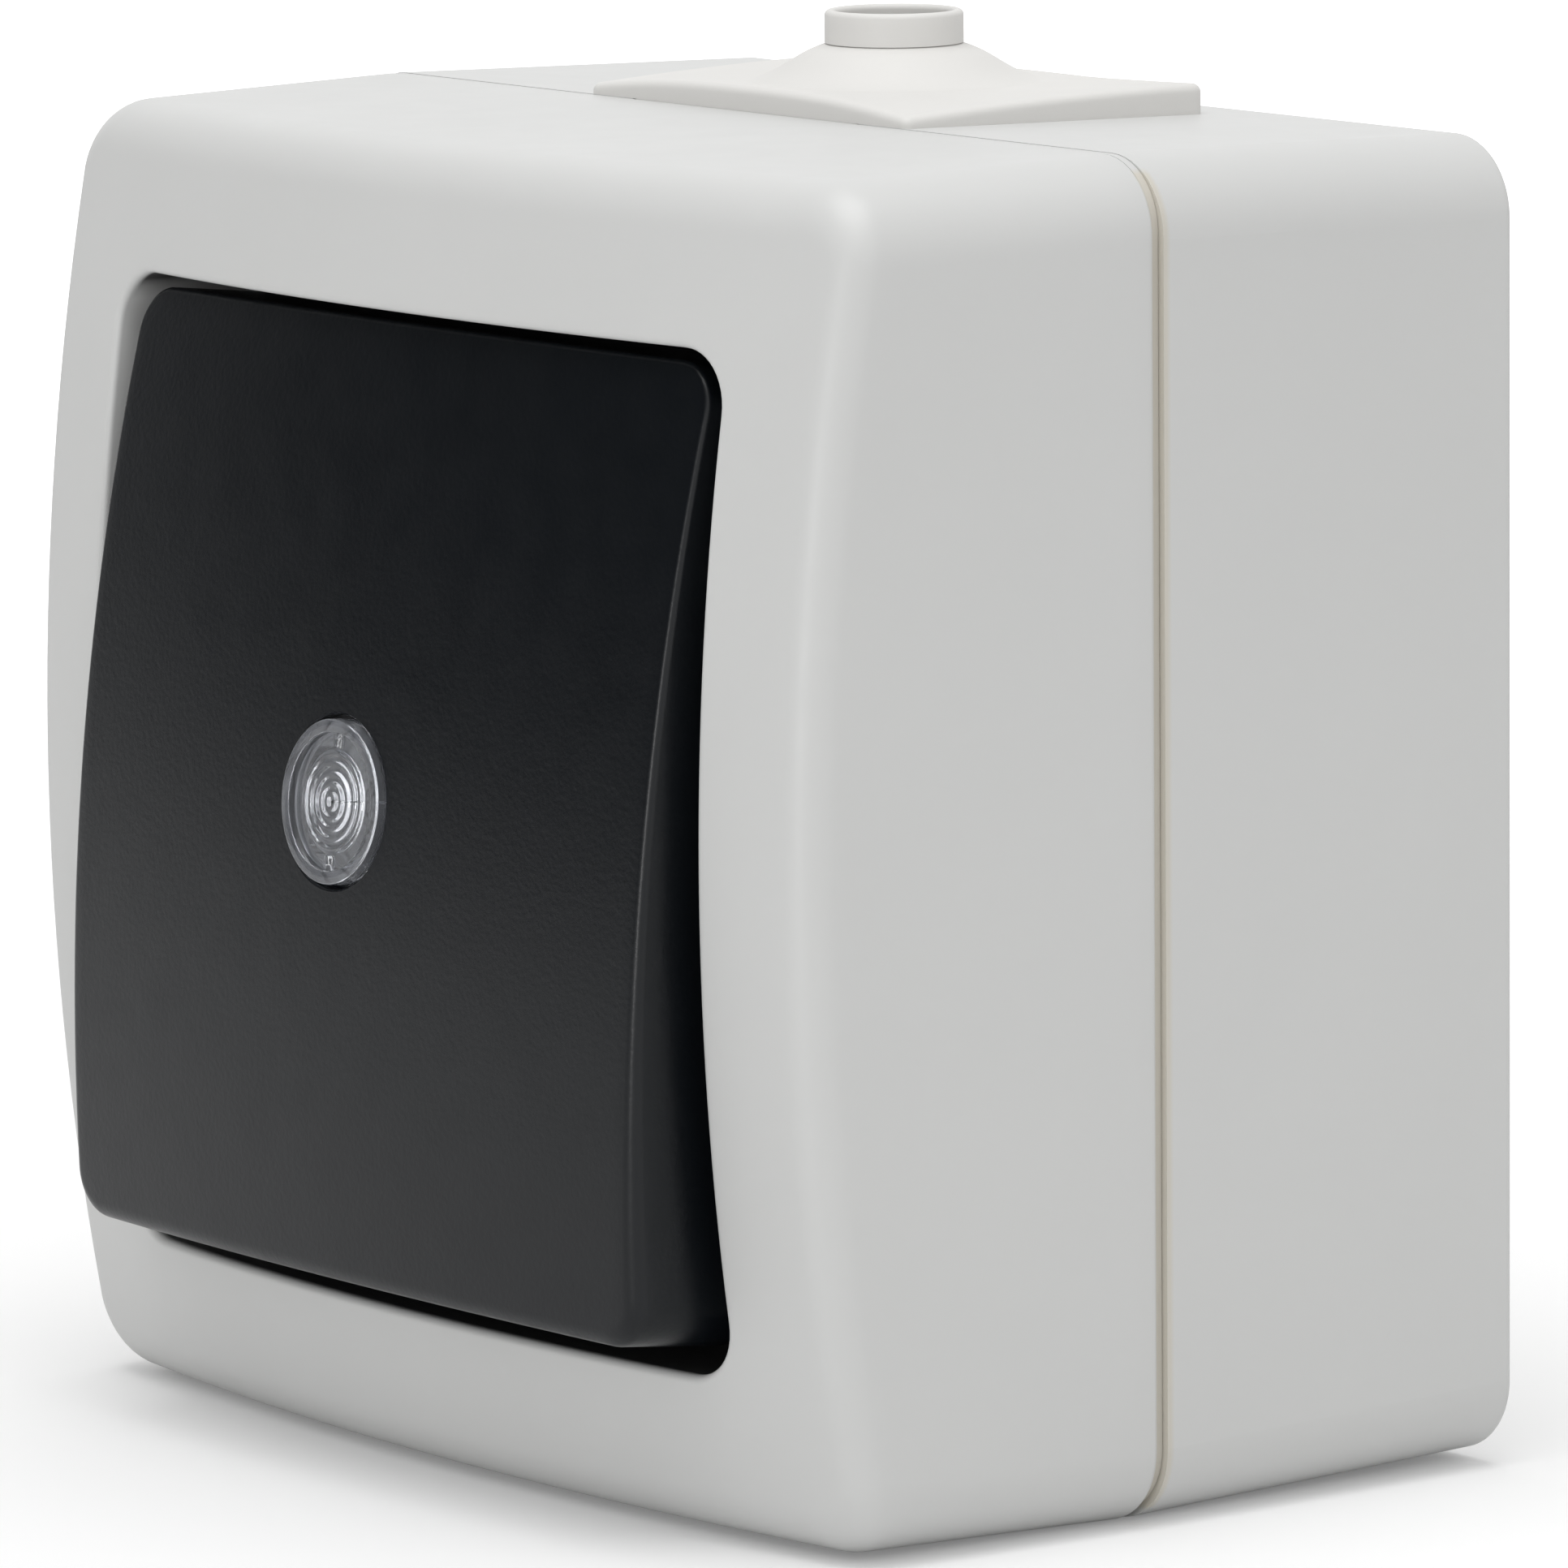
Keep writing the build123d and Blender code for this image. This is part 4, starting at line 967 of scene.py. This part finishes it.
gland = skin("gland_body", gland_loops(), from_gland, 50.0)
step_low = (-GLAND_HALF[0], -GLAND_HALF[1] - 1, box_high.z - STEP_UNDER - WEB_DEPTH)
step_high = (GLAND_HALF[0], STEP_BACK - GLAND_HALF[1], box_high.z - STEP_UNDER)
combine(gland, [block("step", step_low, step_high, from_gland)], "DIFFERENCE")
finish_piece(gland, "cable_gland", "gland_rubber")


# Floor, world and lamps

def ray_kinds(tree):
    """Two sockets: 1 for rays from the camera or through glass, and 1 for rays off gloss."""
    kinds = tree.nodes.new("ShaderNodeLightPath").outputs
    seen = number_math(tree, "MAXIMUM", kinds["Is Camera Ray"], kinds["Is Transmission Ray"])
    return seen, kinds["Is Glossy Ray"]


def choose(tree, factor, off, on):
    """Mix two levels, each a constant or a socket."""
    node = tree.nodes.new("ShaderNodeMix")
    tree.links.new(factor, node.inputs[0])
    for place, level in ((2, off), (3, on)):
        if isinstance(level, bpy.types.NodeSocket):
            tree.links.new(level, node.inputs[place])
        else:
            node.inputs[place].default_value = level
    return node.outputs[0]


world = bpy.data.worlds.new("studio")
bpy.context.scene.world = world
world.use_nodes = True
world_tree = world.node_tree
background = world_tree.nodes["Background"]
background.inputs["Color"].default_value = (1, 1, 1, 1)
world_place = world_tree.nodes.new("ShaderNodeTexCoord")
world_side = vector_math(
    world_tree, "DOT_PRODUCT", world_place.outputs["Generated"], Vector(DARK_SIDE).normalized()
)
world_gloss = spread(world_tree, world_side, DARK_FROM, DARK_FULL, GLOSS_BRIGHT, GLOSS_DARK)
world_seen, world_glossy = ray_kinds(world_tree)
world_level = choose(world_tree, world_glossy, WORLD_STRENGTH, world_gloss)
world_level = choose(world_tree, world_seen, world_level, 1.0)
world_tree.links.new(world_level, background.inputs["Strength"])

floor_mesh = bpy.data.meshes.new("floor")
reach = FLOOR_HALF_SIZE * MM
floor_corners = [(-reach, -reach), (reach, -reach), (reach, reach), (-reach, reach)]
floor_mesh.from_pydata([(*corner, cad_low.z) for corner in floor_corners], [], [(0, 1, 2, 3)])
floor = new_object("floor", floor_mesh)
floor_material, floor_tree, floor_shader = new_material("floor")
floor_shader.inputs["Base Color"].default_value = (FLOOR_GREY, FLOOR_GREY, FLOOR_GREY, 1)
floor_shader.inputs["Roughness"].default_value = 0.9
floor_shader.inputs["Specular IOR Level"].default_value = 0.0
floor_shader.inputs["Emission Color"].default_value = (1, 1, 1, 1)
floor_place = floor_tree.nodes.new("ShaderNodeTexCoord")
floor_distance = floor_tree.nodes.new("ShaderNodeVectorMath")
floor_distance.operation = "LENGTH"
floor_tree.links.new(floor_place.outputs["Object"], floor_distance.inputs[0])
floor_lift = spread(
    floor_tree,
    floor_distance.outputs["Value"],
    FLOOR_NEAR * MM,
    FLOOR_FAR * MM,
    FLOOR_LIFT_NEAR,
    FLOOR_LIFT_FAR,
)
floor_seen = ray_kinds(floor_tree)[0]
floor_glow = multiplied(floor_tree, [floor_lift, floor_seen])
floor_tree.links.new(floor_glow, floor_shader.inputs["Emission Strength"])
floor_mesh.materials.append(floor_material)


def softbox(name, place, aim, size, power):
    """Square area lamp at a place, in millimetres, that faces a point."""
    lamp = bpy.data.lights.new(name, "AREA")
    lamp.shape = "SQUARE"
    lamp.size = size * MM
    lamp.energy = power
    made = new_object(name, lamp)
    start, end = Vector(place) * MM, Vector(aim) * MM
    made.location = start
    made.rotation_mode = "QUATERNION"
    made.rotation_quaternion = (end - start).to_track_quat("-Z", "Y")


for lamp_name, lamp_place, lamp_size, lamp_power in LAMPS:
    softbox(lamp_name, lamp_place, LAMP_AIM, lamp_size, lamp_power)


# Camera

def camera_axes():
    """Camera's right, up and back directions in the frame."""
    azimuth, elevation, roll = (
        math.radians(a) for a in (CAMERA_AZIMUTH, CAMERA_ELEVATION, CAMERA_ROLL)
    )
    back = Vector(
        (
            math.sin(azimuth) * math.cos(elevation),
            -math.cos(azimuth) * math.cos(elevation),
            math.sin(elevation),
        )
    )
    level_right = Vector((math.cos(azimuth), math.sin(azimuth), 0))
    level_up = level_right.cross(-back)
    right = math.cos(roll) * level_right + math.sin(roll) * level_up
    up = -math.sin(roll) * level_right + math.cos(roll) * level_up
    return right, up, back


right, up, back = camera_axes()
camera = new_object("camera", bpy.data.cameras.new("camera"))
offset_x, offset_y, distance = CAMERA_OFFSET
place = (-offset_x * right + offset_y * up + distance * back) * MM
camera.matrix_world = Matrix(
    (
        (right.x, up.x, back.x, place.x),
        (right.y, up.y, back.y, place.y),
        (right.z, up.z, back.z, place.z),
        (0, 0, 0, 1),
    )
)
camera.data.sensor_width = SENSOR
camera.data.lens = FOCAL_PIXELS * SENSOR / IMAGE_SIDE
camera.data.shift_x = 0.5 - CENTRE_PIXEL[0] / IMAGE_SIDE
camera.data.shift_y = CENTRE_PIXEL[1] / IMAGE_SIDE - 0.5
camera.data.clip_start, camera.data.clip_end = (limit * MM for limit in CLIP_RANGE)
bpy.context.scene.camera = camera

bpy.context.scene.view_settings.view_transform = "Standard"
